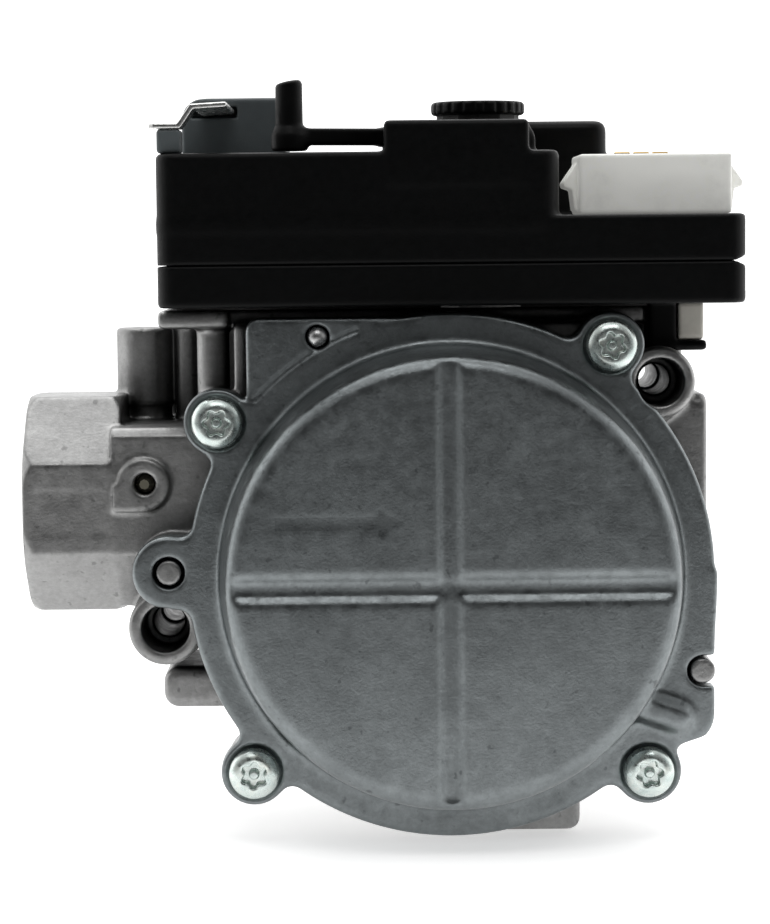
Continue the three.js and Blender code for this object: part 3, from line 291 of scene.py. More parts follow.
def corner_values(d, cells):
    return {(i, j, k): d[cells[:, 0] + i, cells[:, 1] + j, cells[:, 2] + k]
            for i in (0, 1) for j in (0, 1) for k in (0, 1)}


def onto_surface(clay, cells, points):
    """Moves each point along the gradient of its cell until it lies on the surface."""
    value = corner_values(clay.d, cells)
    for _ in range(2):
        f = points - cells
        weight = {0: 1 - f, 1: f}
        d = 0.0
        slope = np.zeros_like(points)
        for (i, j, k), v in value.items():
            wx, wy, wz = weight[i][:, 0], weight[j][:, 1], weight[k][:, 2]
            d = d + v * wx * wy * wz
            slope[:, 0] += v * (2 * i - 1) * wy * wz
            slope[:, 1] += v * (2 * j - 1) * wx * wz
            slope[:, 2] += v * (2 * k - 1) * wx * wy
        size = np.maximum((slope ** 2).sum(1), 1e-6)
        move = np.clip((-d / size)[:, None] * slope, -0.5, 0.5)
        points = np.clip(points + move, cells - 0.1, cells + 1.1)
    return points


def skin(clay, name, share=1.0):
    """A mesh over a Clay: a point in each cell that the surface crosses, a quad on each crossed edge."""
    d = clay.d
    strides = np.array([d.shape[1] * d.shape[2], d.shape[2], 1])
    inside = d < 0
    cell_ids, crossings, quads = [], [], []
    for axis in range(3):
        low = [slice(None)] * 3
        high = [slice(None)] * 3
        low[axis], high[axis] = slice(None, -1), slice(1, None)
        edges = np.argwhere(inside[tuple(low)] != inside[tuple(high)])
        step = np.eye(3, dtype=int)[axis]
        va = d[tuple(edges.T)]
        vb = d[tuple((edges + step).T)]
        place = edges + step * (va / (va - vb))[:, None]
        u, v = (axis + 1) % 3, (axis + 2) % 3
        ring = []
        for i, j in ((0, 0), (1, 0), (1, 1), (0, 1)):
            cell = edges.copy()
            cell[:, u] -= i
            cell[:, v] -= j
            ring.append(cell @ strides)
            crossings.append(place)
        cell_ids += ring
        quad = np.stack(ring, 1)
        outward = va < 0
        quads.append(np.where(outward[:, None], quad, quad[:, ::-1]))
    ids = np.concatenate(cell_ids)
    places = np.concatenate(crossings)
    unique, index = np.unique(ids, return_inverse=True)
    count = np.bincount(index)
    points = np.stack([np.bincount(index, places[:, i]) / count for i in range(3)], 1)
    cells = np.stack(np.unravel_index(unique, d.shape), 1)
    points = onto_surface(clay, cells, points)
    faces = np.searchsorted(unique, np.concatenate(quads))
    mesh = bpy.data.meshes.new(name)
    mesh.vertices.add(len(points))
    mesh.vertices.foreach_set("co", ((clay.low + points * clay.step) * MM).astype(np.float32).ravel())
    mesh.loops.add(faces.size)
    mesh.loops.foreach_set("vertex_index", faces.astype(np.int32).ravel())
    mesh.polygons.add(len(faces))
    mesh.polygons.foreach_set("loop_start", np.arange(0, faces.size, 4, dtype=np.int32))
    mesh.polygons.foreach_set("use_smooth", np.ones(len(faces), bool))
    mesh.update(calc_edges=True)
    mesh.validate()
    piece = bpy.data.objects.new(name, mesh)
    bpy.context.scene.collection.objects.link(piece)
    if share < 1:
        thin = piece.modifiers.new("thin", "DECIMATE")
        thin.ratio = share
        graph = bpy.context.evaluated_depsgraph_get()
        thinned = bpy.data.meshes.new_from_object(piece.evaluated_get(graph))
        piece.modifiers.clear()
        piece.data = thinned
        thinned.name = name
        bpy.data.meshes.remove(mesh)
    return piece


# ---------------------------------------------------------------- materials
class Look:
    """A node material around one Principled shader, with short helpers for its procedural detail."""

    def __init__(self, name, color, rough, metal=0.0, **sockets):
        self.m = bpy.data.materials.new(name)
        self.m.use_nodes = True
        self.tree = self.m.node_tree
        self.shader = self.tree.nodes["Principled BSDF"]
        self.shader.inputs["Base Color"].default_value = (*color, 1)
        self.shader.inputs["Roughness"].default_value = rough
        self.shader.inputs["Metallic"].default_value = metal
        for key, value in sockets.items():
            self.shader.inputs[key.replace("_", " ")].default_value = value
        self.place = self.node("ShaderNodeTexCoord").outputs["Object"]
        self.normal = None

    def node(self, kind, **values):
        n = self.tree.nodes.new(kind)
        for key, value in values.items():
            if key in n.inputs:
                n.inputs[key].default_value = value
            else:
                setattr(n, key, value)
        return n

    def link(self, a, b):
        self.tree.links.new(a, b)

    def noise(self, size_mm, detail=3.0, rough=0.55, stretch=None):
        """Noise whose features are about size_mm across; stretch scales the axes."""
        n = self.node("ShaderNodeTexNoise", Scale=1 / (size_mm * MM), Detail=detail, Roughness=rough)
        place = self.place
        if stretch:
            mapping = self.node("ShaderNodeMapping")
            mapping.inputs["Scale"].default_value = stretch
            self.link(place, mapping.inputs["Vector"])
            place = mapping.outputs["Vector"]
        self.link(place, n.inputs["Vector"])
        return n.outputs["Fac"]

    def ramp(self, value, *stops):
        """value through a colour ramp of (place, grey or colour) stops."""
        n = self.node("ShaderNodeValToRGB")
        elements = n.color_ramp.elements
        while len(elements) < len(stops):
            elements.new(0.5)
        for element, (at, color) in zip(elements, stops):
            element.position = at
            element.color = (*color, 1) if isinstance(color, (tuple, list)) else (color, color, color, 1)
        self.link(value, n.inputs["Fac"])
        return n.outputs["Color"]

    def mix(self, a, b, factor, blend="MIX"):
        n = self.node("ShaderNodeMix", data_type="RGBA", blend_type=blend)
        n.clamp_factor = True
        for socket, value in ((n.inputs[0], factor), (n.inputs[6], a), (n.inputs[7], b)):
            if isinstance(value, bpy.types.NodeSocket):
                self.link(value, socket)
            elif isinstance(value, (tuple, list)):
                socket.default_value = (*value, 1)
            else:
                socket.default_value = value
        return n.outputs[2]

    def math(self, operation, *values):
        n = self.node("ShaderNodeMath", operation=operation)
        for socket, value in zip(n.inputs, values):
            if isinstance(value, bpy.types.NodeSocket):
                self.link(value, socket)
            else:
                socket.default_value = value
        return n.outputs[0]

    def place_mm(self):
        """The X and the Z of the shaded point, in mm."""
        split = self.node("ShaderNodeSeparateXYZ")
        self.link(self.place, split.inputs[0])
        return [self.math("MULTIPLY", split.outputs[axis], 1 / MM) for axis in ("X", "Z")]

    def color(self, socket):
        self.link(socket, self.shader.inputs["Base Color"])

    def rough(self, socket):
        self.link(socket, self.shader.inputs["Roughness"])

    def bump(self, height, depth_mm, strength=1.0):
        n = self.node("ShaderNodeBump", Strength=strength, Distance=depth_mm * MM)
        self.link(height, n.inputs["Height"])
        if self.normal:
            self.link(self.normal, n.inputs["Normal"])
        self.normal = n.outputs["Normal"]
        self.link(self.normal, self.shader.inputs["Normal"])


def grey(level, tint=(1, 1, 1)):
    return tuple(level * t for t in tint)


def cast_aluminium(name="cast_aluminium", level=0.3, tint=(1.0, 1.0, 0.99), rough=0.39):
    """Die-cast alloy: cloudy flow marks, a fine satin grain, small dark pores and painted shade in its
    crevices.
    """
    look = Look(name, grey(level, tint), rough, 1.0)
    duller, brighter = grey(level * 0.84, tint), grey(level * 1.12, tint)
    clouds = look.ramp(look.noise(9, 4, 0.6), (0.3, duller), (0.7, brighter))
    speckle = look.ramp(look.noise(0.9, 4, 0.7), (0.35, 0.86), (0.65, 1.08))
    base = look.mix(clouds, speckle, 0.8, "MULTIPLY")
    pores = look.ramp(look.noise(1.7, 2, 0.5), (0.27, 0.45), (0.34, 1.0))
    base = look.mix(base, pores, 0.6, "MULTIPLY")
    # painted shade: an ambient occlusion mask darkens the colour in crevices and cored holes, where shade
    # would fall
    open_air = look.node("ShaderNodeAmbientOcclusion", samples=6, only_local=True, Distance=14 * MM)
    painted_crevice_shade = look.ramp(open_air.outputs["AO"], (0.12, 0.12), (0.42, 0.6), (0.72, 1.0))
    base = look.mix(base, painted_crevice_shade, 1.0, "MULTIPLY")
    look.base = base
    look.color(base)
    look.rough(look.ramp(look.noise(2.2, 4, 0.7), (0.3, rough - 0.09), (0.7, rough + 0.12)))
    look.bump(look.noise(0.45, 3, 0.6), 0.035)
    look.bump(look.noise(2.6, 3, 0.5), 0.05)
    return look


def body_aluminium():
    """The body's alloy; the deep mounting holes are painted near black inside as painted shade."""
    look = cast_aluminium()
    x, z = look.place_mm()
    dark = None
    for hole_x, hole_z in (LEFT_HOLE, RIGHT_HOLE):
        across = look.math("SUBTRACT", x, hole_x)
        above = look.math("SUBTRACT", z, hole_z)
        squares = [look.math("MULTIPLY", offset, offset) for offset in (across, above)]
        inside = look.math("LESS_THAN", look.math("ADD", *squares), HOLE_SHADE_RADIUS ** 2)
        dark = look.math("MAXIMUM", dark, inside) if dark else inside
    # painted shade: a near-black colour inside the mounting holes stands in for the shade deep in them
    look.color(look.mix(look.base, grey(0.012), dark))
    return look.m


def cover_aluminium():
    """The cover's alloy, a little cooler and smoother, with the flow arrow coloured darker."""
    look = cast_aluminium("cover_aluminium", 0.225, (0.92, 1.0, 1.02), 0.37)
    x, z = look.place_mm()
    height = look.math("ABSOLUTE", look.math("SUBTRACT", z, ARROW_Z))
    shaft = look.math("LESS_THAN", height, ARROW_SHAFT)
    for test, end in (("GREATER_THAN", ARROW_LEFT), ("LESS_THAN", ARROW_NECK)):
        shaft = look.math("MULTIPLY", shaft, look.math(test, x, end))
    slope = ARROW_HALF / (ARROW_TIP - ARROW_NECK)
    side = look.math("MULTIPLY", look.math("SUBTRACT", ARROW_TIP, x), slope)
    head = look.math("LESS_THAN", height, side)
    head = look.math("MULTIPLY", look.math("GREATER_THAN", x, ARROW_NECK), head)
    darker = look.mix(look.base, grey(0.78), 1.0, "MULTIPLY")
    look.color(look.mix(look.base, darker, look.math("MAXIMUM", shaft, head)))
    return look.m


def machined(name, level, tint=(1, 1, 1), rough=0.3, marks=(1, 1, 1)):
    """Turned or milled metal with fine tool marks along one direction."""
    look = Look(name, grey(level, tint), rough, 1.0)
    lines = look.noise(0.35, 2, 0.5, marks)
    look.color(look.ramp(lines, (0.3, grey(level * 0.88, tint)), (0.7, grey(level * 1.08, tint))))
    look.rough(look.ramp(look.noise(1.5, 3, 0.6), (0.3, rough - 0.06), (0.7, rough + 0.1)))
    look.bump(lines, 0.012)
    return look.m


def zinc_plate():
    look = Look("zinc_plate", (0.6, 0.66, 0.64), 0.3, 1.0)
    look.color(look.ramp(look.noise(1.6, 4, 0.6), (0.3, (0.5, 0.58, 0.56)), (0.55, (0.66, 0.72, 0.69)),
                         (0.75, (0.74, 0.76, 0.7))))
    look.rough(look.ramp(look.noise(0.8, 3, 0.6), (0.3, 0.2), (0.7, 0.38)))
    look.bump(look.noise(0.5, 3, 0.6), 0.02)
    return look.m


def moulded(name, color, rough, grain=0.02, sheen=0.5, glow=0.0):
    """Injection-moulded plastic with a fine grain; glow stands for light that comes through thin walls."""
    look = Look(name, color, rough, 0.0, **{"Specular_IOR_Level": sheen})
    darker = tuple(c * 0.85 for c in color)
    lighter = tuple(c * 1.12 for c in color)
    look.color(look.ramp(look.noise(6, 4, 0.6), (0.3, darker), (0.7, lighter)))
    look.rough(look.ramp(look.noise(1.2, 4, 0.7), (0.3, rough - 0.07), (0.7, rough + 0.07)))
    look.bump(look.noise(0.25, 2, 0.5), grain)
    if glow:
        look.shader.inputs["Emission Color"].default_value = (*color, 1)
        look.shader.inputs["Emission Strength"].default_value = glow
    return look.m


def rubber():
    look = Look("nitrile_rubber", (0.012, 0.012, 0.013), 0.65)
    look.color(look.ramp(look.noise(2, 4), (0.3, 0.008), (0.7, 0.02)))
    look.bump(look.noise(0.4, 3), 0.03)
    return look.m


def enamelled_wire():
    look = Look("enamelled_wire", (0.45, 0.16, 0.06), 0.35, 0.8)
    look.color(look.ramp(look.noise(1, 3), (0.3, (0.36, 0.12, 0.05)), (0.7, (0.55, 0.22, 0.09))))
    wave = look.node("ShaderNodeTexWave", Scale=1 / (2.2 * MM), wave_type="BANDS", bands_direction="Z")
    look.link(look.place, wave.inputs["Vector"])
    look.bump(wave.outputs["Fac"], 0.2)
    return look.m


CAST = body_aluminium()
COVER_CAST = cover_aluminium()
TURNED = machined("turned_steel", 0.5, marks=(1, 1, 8))
WIRE = machined("spring_wire", 0.42, rough=0.28)
BRASS = machined("turned_brass", 0.5, (1.0, 0.72, 0.34), 0.3, (1, 1, 6))
DULL_BRASS = machined("dull_brass", 0.2, (1.0, 0.95, 0.75), 0.45, (1, 1, 6))
TIN = machined("tin_plate", 0.78, (1.0, 1.0, 0.98), 0.24)
ZINC = zinc_plate()
BLACK = moulded("black_plastic", (0.0016, 0.0018, 0.0019), 0.42, 0.02, 0.13)
GREY = moulded("grey_plastic", (0.085, 0.1, 0.105), 0.5)
NYLON = moulded("white_nylon", (0.86, 0.86, 0.82), 0.4, 0.015, glow=0.2)
BEIGE = moulded("beige_nylon", (0.62, 0.6, 0.54), 0.45, 0.015)
RUBBER = rubber()
COPPER = enamelled_wire()
BOARD = moulded("solder_mask", (0.03, 0.12, 0.05), 0.35, 0.01)
SLOT_LOOKS = {"casting": CAST, "screw_steel": ZINC, "steel": TURNED, "spring_steel": WIRE, "brass": BRASS,
              "tin": TIN, "black_plastic": BLACK, "grey_plastic": GREY, "white_nylon": NYLON,
              "beige_nylon": BEIGE, "rubber": RUBBER, "winding": COPPER, "board": BOARD}
NODE_LOOKS = {"inlet_tap_plug": DULL_BRASS}
NODE_SLOT = {s["node"]: s["material_slot"] for s in frame["record"]["subparts"]}
NODE_BODY = {n: body for body, nodes in frame["record"]["behaviour"]["bodies"].items() for n in nodes}


def finish_piece(piece, *nodes, look=None):
    """Gives a piece the body of the CAD nodes that it stands for, and the material of their slot unless a
    look is given.
    """
    slot = NODE_SLOT[nodes[0]]
    piece.data.materials.clear()
    piece.data.materials.append(look or SLOT_LOOKS[slot])
    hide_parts(*nodes)
    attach(piece, NODE_BODY[nodes[0]])
    return piece


# ---------------------------------------------------------------- diaphragm cover
def cover_outline(inset=0.0):
    """Flange outline: ring, screw ears, pin ear, straight right side and lower right corner."""
    parts = [disc(COVER_X, COVER_Z, COVER_R - inset)]
    for bolt, angle in zip(BOLTS, BOLT_ANGLES):
        parts.append(bar(*around(COVER_R - 5, angle), *bolt, EAR_R - inset))
    parts.append(bar(*LEFT_PIN, 34, LEFT_PIN[1] - 1, PIN_EAR_R - inset))
    right = COVER_X + COVER_R - inset
    corner_z, corner_r = -32, 5 - inset
    arc = [(right - corner_r + corner_r * math.cos(a), corner_z + corner_r * math.sin(a))
           for a in np.radians([0, -15, -30, -45])]
    x, z = BOLTS[3]
    parts.append(polygon([(84, -14), (88, -36), (x + 3.2, z + 3.4 + inset), *arc[::-1], (right, COVER_Z)]))
    return together(*parts, fillet=1.6)


def arrow_outline():
    upper = [(ARROW_LEFT, ARROW_SHAFT), (ARROW_NECK, ARROW_SHAFT), (ARROW_NECK, ARROW_HALF)]
    tip = [(ARROW_TIP, ARROW_Z)]
    return polygon([(x, ARROW_Z - half) for x, half in upper] + tip
                   + [(x, ARROW_Z + half) for x, half in upper[::-1]])


def groove_section(centre):
    """The cross groove's sloped sides, as places across it and along Y."""
    top, floor_y = DOME_FACE - 1.5, DOME_FACE + GROOVE_DEPTH
    half_top = GROOVE_HALF + 1.65
    return [(centre - half_top, top), (centre - GROOVE_FLOOR, floor_y),
            (centre + GROOVE_FLOOR, floor_y), (centre + half_top, top)]


def cover_casting():
    clay = Clay((17, -40, -52), (110, -22, 33), 0.32)
    clay.add(pushed("y", cover_outline(), COVER_FACE, COVER_BACK, 0.5))
    # flat plate at the upper left of the ring
    clay.add(pushed("y", rect(36.1, 74, 0, 30.2, 2.0), COVER_FACE + 0.15, COVER_BACK, 0.25))
    # passage cast along the lower right of the flange
    clay.add(pushed("y", bar(*PASSAGE, 2.3), COVER_FACE - 0.7, COVER_FACE + 2, 0.3), 0.9)
    clay.add(pushed("y", bar(*PASSAGE, 1.8), COVER_FACE - 1.6, COVER_FACE + 2, 0.8), 0.6)
    fillet = 2.6
    profile = [(0, -24), (DOME_BASE_R + 0.2, -24), (DOME_BASE_R, COVER_FACE)]
    profile.append((DOME_TOP_R, DOME_FACE + fillet))
    profile += [(DOME_TOP_R - fillet + fillet * math.cos(a), DOME_FACE + fillet - fillet * math.sin(a))
                for a in np.radians(np.arange(15, 91, 15))]
    clay.add(lathed("y", COVER_X, COVER_Z, profile + [(0, DOME_FACE)]), 1.0)
    upright = pushed("z", polygon(groove_section(GROOVE_X)), COVER_Z - GROOVE_REACH, COVER_Z + 38)
    across = polygon([(y, z) for z, y in groove_section(GROOVE_Z)])
    clay.cut(upright, 0.25)
    clay.cut(pushed("x", across, COVER_X - GROOVE_REACH, COVER_X + GROOVE_REACH), 0.25)
    clay.cut(pushed("y", arrow_outline(), DOME_FACE - 1, DOME_FACE + 0.1))
    clay.soften(2)
    # fine step between the ring and the plate
    step = [around(COVER_R - 0.35, angle) for angle in range(110, 139, 4)]
    step += [around(COVER_R + 0.2, angle) for angle in range(138, 109, -4)]
    clay.cut(pushed("y", polygon(step), COVER_FACE - 1, COVER_FACE + 0.5))
    # machined and cored openings
    for x, z in BOLTS:
        clay.cut(rod("y", x, z, 4.3, -45, COVER_FACE + 0.6), 0.15)
        clay.cut(rod("y", x, z, 2.3, -45, 0))
    clay.cut(rod("y", *LEFT_PIN, 2.45, -45, 0), 0.15)
    clay.cut(pushed("y", bar(*RIGHT_PIN, RIGHT_PIN[0] + 8, RIGHT_PIN[1], 2.4), -45, 0), 0.15)
    for hole in (LEFT_HOLE, RIGHT_HOLE):
        clay.cut(rod("y", *hole, 3.9, -45, 0), 0.2)
    clay.cut(rod("y", *BALL, BALL_R + 0.2, -45, COVER_FACE + 3), 0.2)
    hollow = [(0, -20), (33.2, -20), (33.2, COVER_FACE), (31.6, -35.6), (30.4, -36.8), (0, -36.8)]
    clay.cut(lathed("y", COVER_X, COVER_Z, hollow))
    clay.soften(1)
    return finish_piece(skin(clay, "cover_casting", 0.5), "diaphragm_cover", look=COVER_CAST)


# ---------------------------------------------------------------- body casting
def octagon(flats):
    half = flats / 2
    short = half * math.tan(math.pi / 8)
    return polygon([(-half, -short), (-short, -half), (short, -half), (half, -short),
                    (half, short), (short, half), (-short, half), (-half, short)])


def deck_and_pillars(add):
    """The deck under the plastic housing, and the walls and pillars that carry it."""
    deck_left, deck_right, deck_back = 21.9, 108, 26
    add(block(deck_left, deck_right, -13, deck_back, DECK_BOTTOM, DECK_TOP, 0.3), 0.8)
    add(block(deck_left, 33, -17.5, -12, DECK_BOTTOM, DECK_TOP, 0.3))
    # front wall behind the cover's plate, the root of the inlet's neck, and a web between them
    add(block(34.5, MAIN_RIGHT, -18.5, 3, 8, WALL_TOP, 0.5), 0.8)
    add(block(24, 42, -6, 10, -14, 12, 0.5), 0.8)
    add(block(33.9, 35.6, -19, 6, 8, WALL_TOP), 0.6)
    # pillars as X, Y, radius, foot and fillet, then the walls at the back
    pillars = ((25.6, 4, 2.5, 8, 0.6), (52, 24, 2.6, 18, 0.6), (30.3, -12, 2.6, 10, 0.4))
    for x, y, radius, foot, fillet in pillars:
        add(rod("z", x, y, radius, foot, WALL_TOP), fillet)
    add(block(31, 50, 2, 19, -12, WALL_TOP, 0.6), 0.6)
    add(block(21.6, 34, 12, 19, -12, WALL_TOP, 0.6), 0.6)
    # wells of the two solenoid valves, and the corner block
    add(rod("z", *PRIMARY, PRIMARY_BORE + 3, -16, WALL_TOP, 1.0), 0.8)
    add(rod("z", *SERVO, SERVO_BORE + 3, 5, WALL_TOP, 1.0), 0.8)
    add(block(94, 106, -2.5, 22, 12, WALL_TOP, 0.8), 0.8)


def mounting_ears(add):
    ears = ((LEFT_HOLE, 5.85, (36, LEFT_HOLE[1] + 6)), (RIGHT_HOLE, 5.55, (92, 10)))
    for hole, radius, root in ears:
        add(rod("y", *hole, radius, BODY_FACE, EAR_BACK, 0.5), 0.8)
        add(pushed("y", bar(*hole, *root, 5), -20, -7, 0.5), 0.8)
    add(pushed("y", bar(*LEFT_PIN, 36, LEFT_PIN[1], 4.9), BODY_FACE, -11, 0.4), 0.6)


def bulges_and_pads(add):
    """Passage bulges low on the casting, then the pads and ribs on its back."""
    add(pushed("y", rect(21.8, 50, -32, -25.4, 2.4), -16, 4, 1.2), 1.2)
    add(pushed("y", rect(72, 87.8, -51.8, -40, 1.8), -19, -8, 0.6), 0.8)
    for x in PADS:
        add(rod("y", x, PAD_Z, 6, 17, PAD_FACE, 0.5), 1.2)
    add(block(40, 60, 12, PAD_FACE, 14, WALL_TOP, 1.0), 1.2)
    add(block(36, 99, 15, 21.5, -2, 3, 0.6), 0.8)


def inlet_end(add, cut):
    """The inlet boss, its neck and the two pressure connections."""
    neck = polygon([(-17.3, -7.3), (-8, -16.6), (8, -16.6), (17.3, -7.5), (17.3, 8), (13, 12.8),
                    (-16, 12.8), (-17.3, 11.5)])
    add(pushed("x", neck, 14, 35, 0.2), 0.5)
    add(rod("z", *TAP_POST, 4.1, 10, 17, 0.3), 0.8)
    add(rod("z", *TAP_POST, 4.85, 15.2, 27.9, 0.4), 0.3)
    tap_boss = together(disc(19.3, 3.8, 4.2), rect(14.4, 19.3, -0.4, 4))
    add(pushed("y", tap_boss, -18.1, -12, 0.3), 0.35)
    corner = ACROSS_FLATS / 2 / math.cos(math.pi / 8)
    flats = pushed("x", octagon(ACROSS_FLATS), 0, BOSS_LENGTH)
    chamfer = lathed("x", 0, 0, [
        (0, -0.01), (corner - 1.2, -0.01), (corner + 0.3, 2), (corner + 0.3, BOSS_LENGTH - 2),
        (corner - 1.2, BOSS_LENGTH), (0, BOSS_LENGTH)])
    add(bounded(lambda p: np.maximum(flats(p), chamfer(p)), *flats.span), 0.15)
    # faint frame on the front flat
    cut(pushed("y", rect(1.6, 13.4, -4.4, 3.2, 0.5), -19, -17.22))


def gas_ways(add, cut):
    """The cored ways from the inlet through both valves to the outlet."""
    inlet = [(0, -1), (PIPE_CHAMFER, -1), (PIPE_CHAMFER, 0), (PIPE_BORE, 1.6), (PIPE_BORE, 19), (0, 19)]
    cut(lathed("x", 0, 0, inlet), 0.1)
    cut(rod("x", 8, 0, 6.6, 15, PRIMARY[0]))
    cut(rod("z", *PRIMARY, PRIMARY_BORE, -3, 33))
    cut(rod("z", *PRIMARY, 4.5, -14, -2.8))
    cut(rod("y", PRIMARY[0], -13, 4.5, -18, PRIMARY[1]))
    # chamber behind the diaphragm, with the main valve's raised seat
    cut(rod("y", COVER_X, COVER_Z, 33.4, -24, -13.5), 0.3)
    cut(rod("y", COVER_X, COVER_Z, 20, -14, 0))
    seat = without(disc(COVER_X, COVER_Z, VALVE_SEAT + 1), disc(COVER_X, COVER_Z, VALVE_SEAT))
    add(pushed("y", seat, -0.8, 1))
    cut(rod("y", COVER_X, COVER_Z, VALVE_SEAT, -1.4, 4))
    cut(rod("y", COVER_X, COVER_Z, 13, 3, 16))
    cut(rod("x", 9.2, -5, 6.6, COVER_X, 99))
    outlet = [(0, 91), (PIPE_BORE, 91), (PIPE_BORE, BODY_LENGTH - 1.6), (PIPE_CHAMFER, BODY_LENGTH),
              (PIPE_CHAMFER, BODY_LENGTH + 1), (0, BODY_LENGTH + 1)]
    cut(lathed("x", 0, 0, outlet), 0.1)


def small_openings(cut):
    """Solenoid, tap, mounting and screw holes, the hook's notch and a shallow panel on the back."""
    cut(rod("z", *SERVO, SERVO_BORE, 17, 33))
    cut(rod("z", *SERVO, 1.6, 2, 18))
    cut(rod("z", *REGULATOR, 2.4, 26, 33))
    cut(rod("y", *INLET_TAP, TAP_BORE, -20, -8), 0.25)
    cut(rod("z", *OUTLET_TAP, TAP_BORE, -18, -8))
    cut(rod("z", *TAP_POST, 1.5, 16, 30), 0.3)
    for hole in (LEFT_HOLE, RIGHT_HOLE):
        cut(rod("y", *hole, 3.7, -24, -13), 0.25)
        cut(rod("y", *hole, 2.45, -24, 2))
        cut(rod("y", *hole, 2.1, 1, 30))
    for x in PADS:
        cut(rod("y", x, PAD_Z, 1.7, 14, 26), 0.2)
    for bolt in BOLTS:
        cut(rod("y", *bolt, 2.0, -24, -13.5))
    cut(block(98.8, 110, -18.5, -5.5, 23.5, 33))
    cut(pushed("y", rect(54, 82, -32, -8, 2), 19.4, 22), 0.2)


def body_casting():
    clay = Clay((-0.5, -28, -52), (109, 27.5, 32), 0.36)
    add, cut = clay.add, clay.cut
    add(pushed("y", cover_outline(0.6), BODY_FACE, -13, 0.3))
    add(rod("y", COVER_X, COVER_Z, 38, -14, -4, 1.0), 0.8)
    add(rod("y", COVER_X, COVER_Z, 34, -5, 20, 1.5), 1.5)
    add(pushed("x", rect(-17.3, 17.3, -17.3, 17.3, 2.0), 88, BODY_LENGTH, 0.5), 1.2)
    deck_and_pillars(add)
    mounting_ears(add)
    bulges_and_pads(add)
    clay.soften(2)
    inlet_end(add, cut)
    gas_ways(add, cut)
    small_openings(cut)
    clay.soften(1)
    # pins that locate the cover
    for pin in (LEFT_PIN, RIGHT_PIN):
        add(rod("y", *pin, 1.95, COVER_FACE + 0.15, -20, 0.25))
    cut(block(BODY_LENGTH, BODY_LENGTH + 7, -40, -10, -40, -10))
    return finish_piece(skin(clay, "body_casting", 0.45), "valve_body")


# ---------------------------------------------------------------- screws
def lobes(cx, cy, r, turn=0.0, count=6):
    """The outline of a star-shaped recess, nearly true as a distance."""
    def distance(u, v):
        a = np.arctan2(v - cy, u - cx) + turn
        return np.hypot(u - cx, v - cy) - r * (0.86 + 0.14 * np.cos(count * a))
    return bounded(distance, cx - r, cx + r, cy - r, cy + r)


def cover_screw(index, x, z):
    """Pan-head zinc-plated screw with a six-lobed recess and a centre pin."""
    seat = COVER_FACE + 0.55
    top = seat - 2.9
    tip, shank = seat + 12.5, 1.95
    clay = Clay((x - 4.2, top - 0.2, z - 4.2), (x + 4.2, tip + 0.1, z + 4.2), 0.13)
    profile = [(0, tip), (1.35, tip), (shank, seat + 11.7), (shank, seat), (3.9, seat), (3.92, top + 1.4)]
    profile += [(3.7, top + 0.75), (3.2, top + 0.3), (2.6, top), (0, top)]
    clay.add(lathed("y", x, z, profile))
    clay.soften(2)
    # each screw stopped at its own angle
    turn = math.radians(17 * index)
    clay.cut(pushed("y", lobes(x, z, 2.1, turn), top - 1, top + 1.5), 0.12)
    clay.add(rod("y", x, z, 0.7, top + 0.35, top + 1.7, 0.1))
    clay.soften(1)
    return finish_piece(skin(clay, f"cover_screw_head_{index + 1}", 0.35), f"cover_screw_{index + 1}")


def housing_screw(index, x, y, face):
    """Small pan-head screw, sunk in the plastic housing whose face is at the height face."""
    seat = face - 2.25
    clay = Clay((x - 3.1, y - 3.1, SCREW_TIP - 0.2), (x + 3.1, y + 3.1, seat + 2.2), 0.16)
    clay.add(rod("z", x, y, 1.4, SCREW_TIP, seat + 0.5, 0.2))
    clay.add(rod("z", x, y, 2.9, seat, seat + 2, 0.6))
    clay.cut(pushed("z", lobes(x, y, 1.45), seat + 0.9, seat + 3), 0.1)
    clay.soften(1)
    return finish_piece(skin(clay, f"housing_screw_head_{index + 1}", 0.35), f"housing_screw_{index + 1}")


# ---------------------------------------------------------------- plastic housing
def housing_plan(inset=0.0):
    """The housing's outline from above: the main box, and a slab to its right."""
    r = max(3 - inset, 0.8)
    front = HOUSING_FRONT + inset
    return together(rect(HOUSING_LEFT + inset, MAIN_RIGHT - inset, front, HOUSING_BACK - inset, r),
                    rect(60, HOUSING_RIGHT - inset, front, SLAB_BACK - inset, r))


def parting_notch(clay, clear, edge, mouth):
    """Cuts one shell's half of the V groove at the slab's right end.

    clear is a height off the shell, edge that of its parting face and mouth that of the groove's lip.
    """
    outer, inner = HOUSING_RIGHT + 1, 111.3
    outline = polygon([(outer, clear), (inner, clear), (inner, edge), (outer, mouth)])
    clay.cut(pushed("y", outline, HOUSING_FRONT - 1, SLAB_BACK + 1))


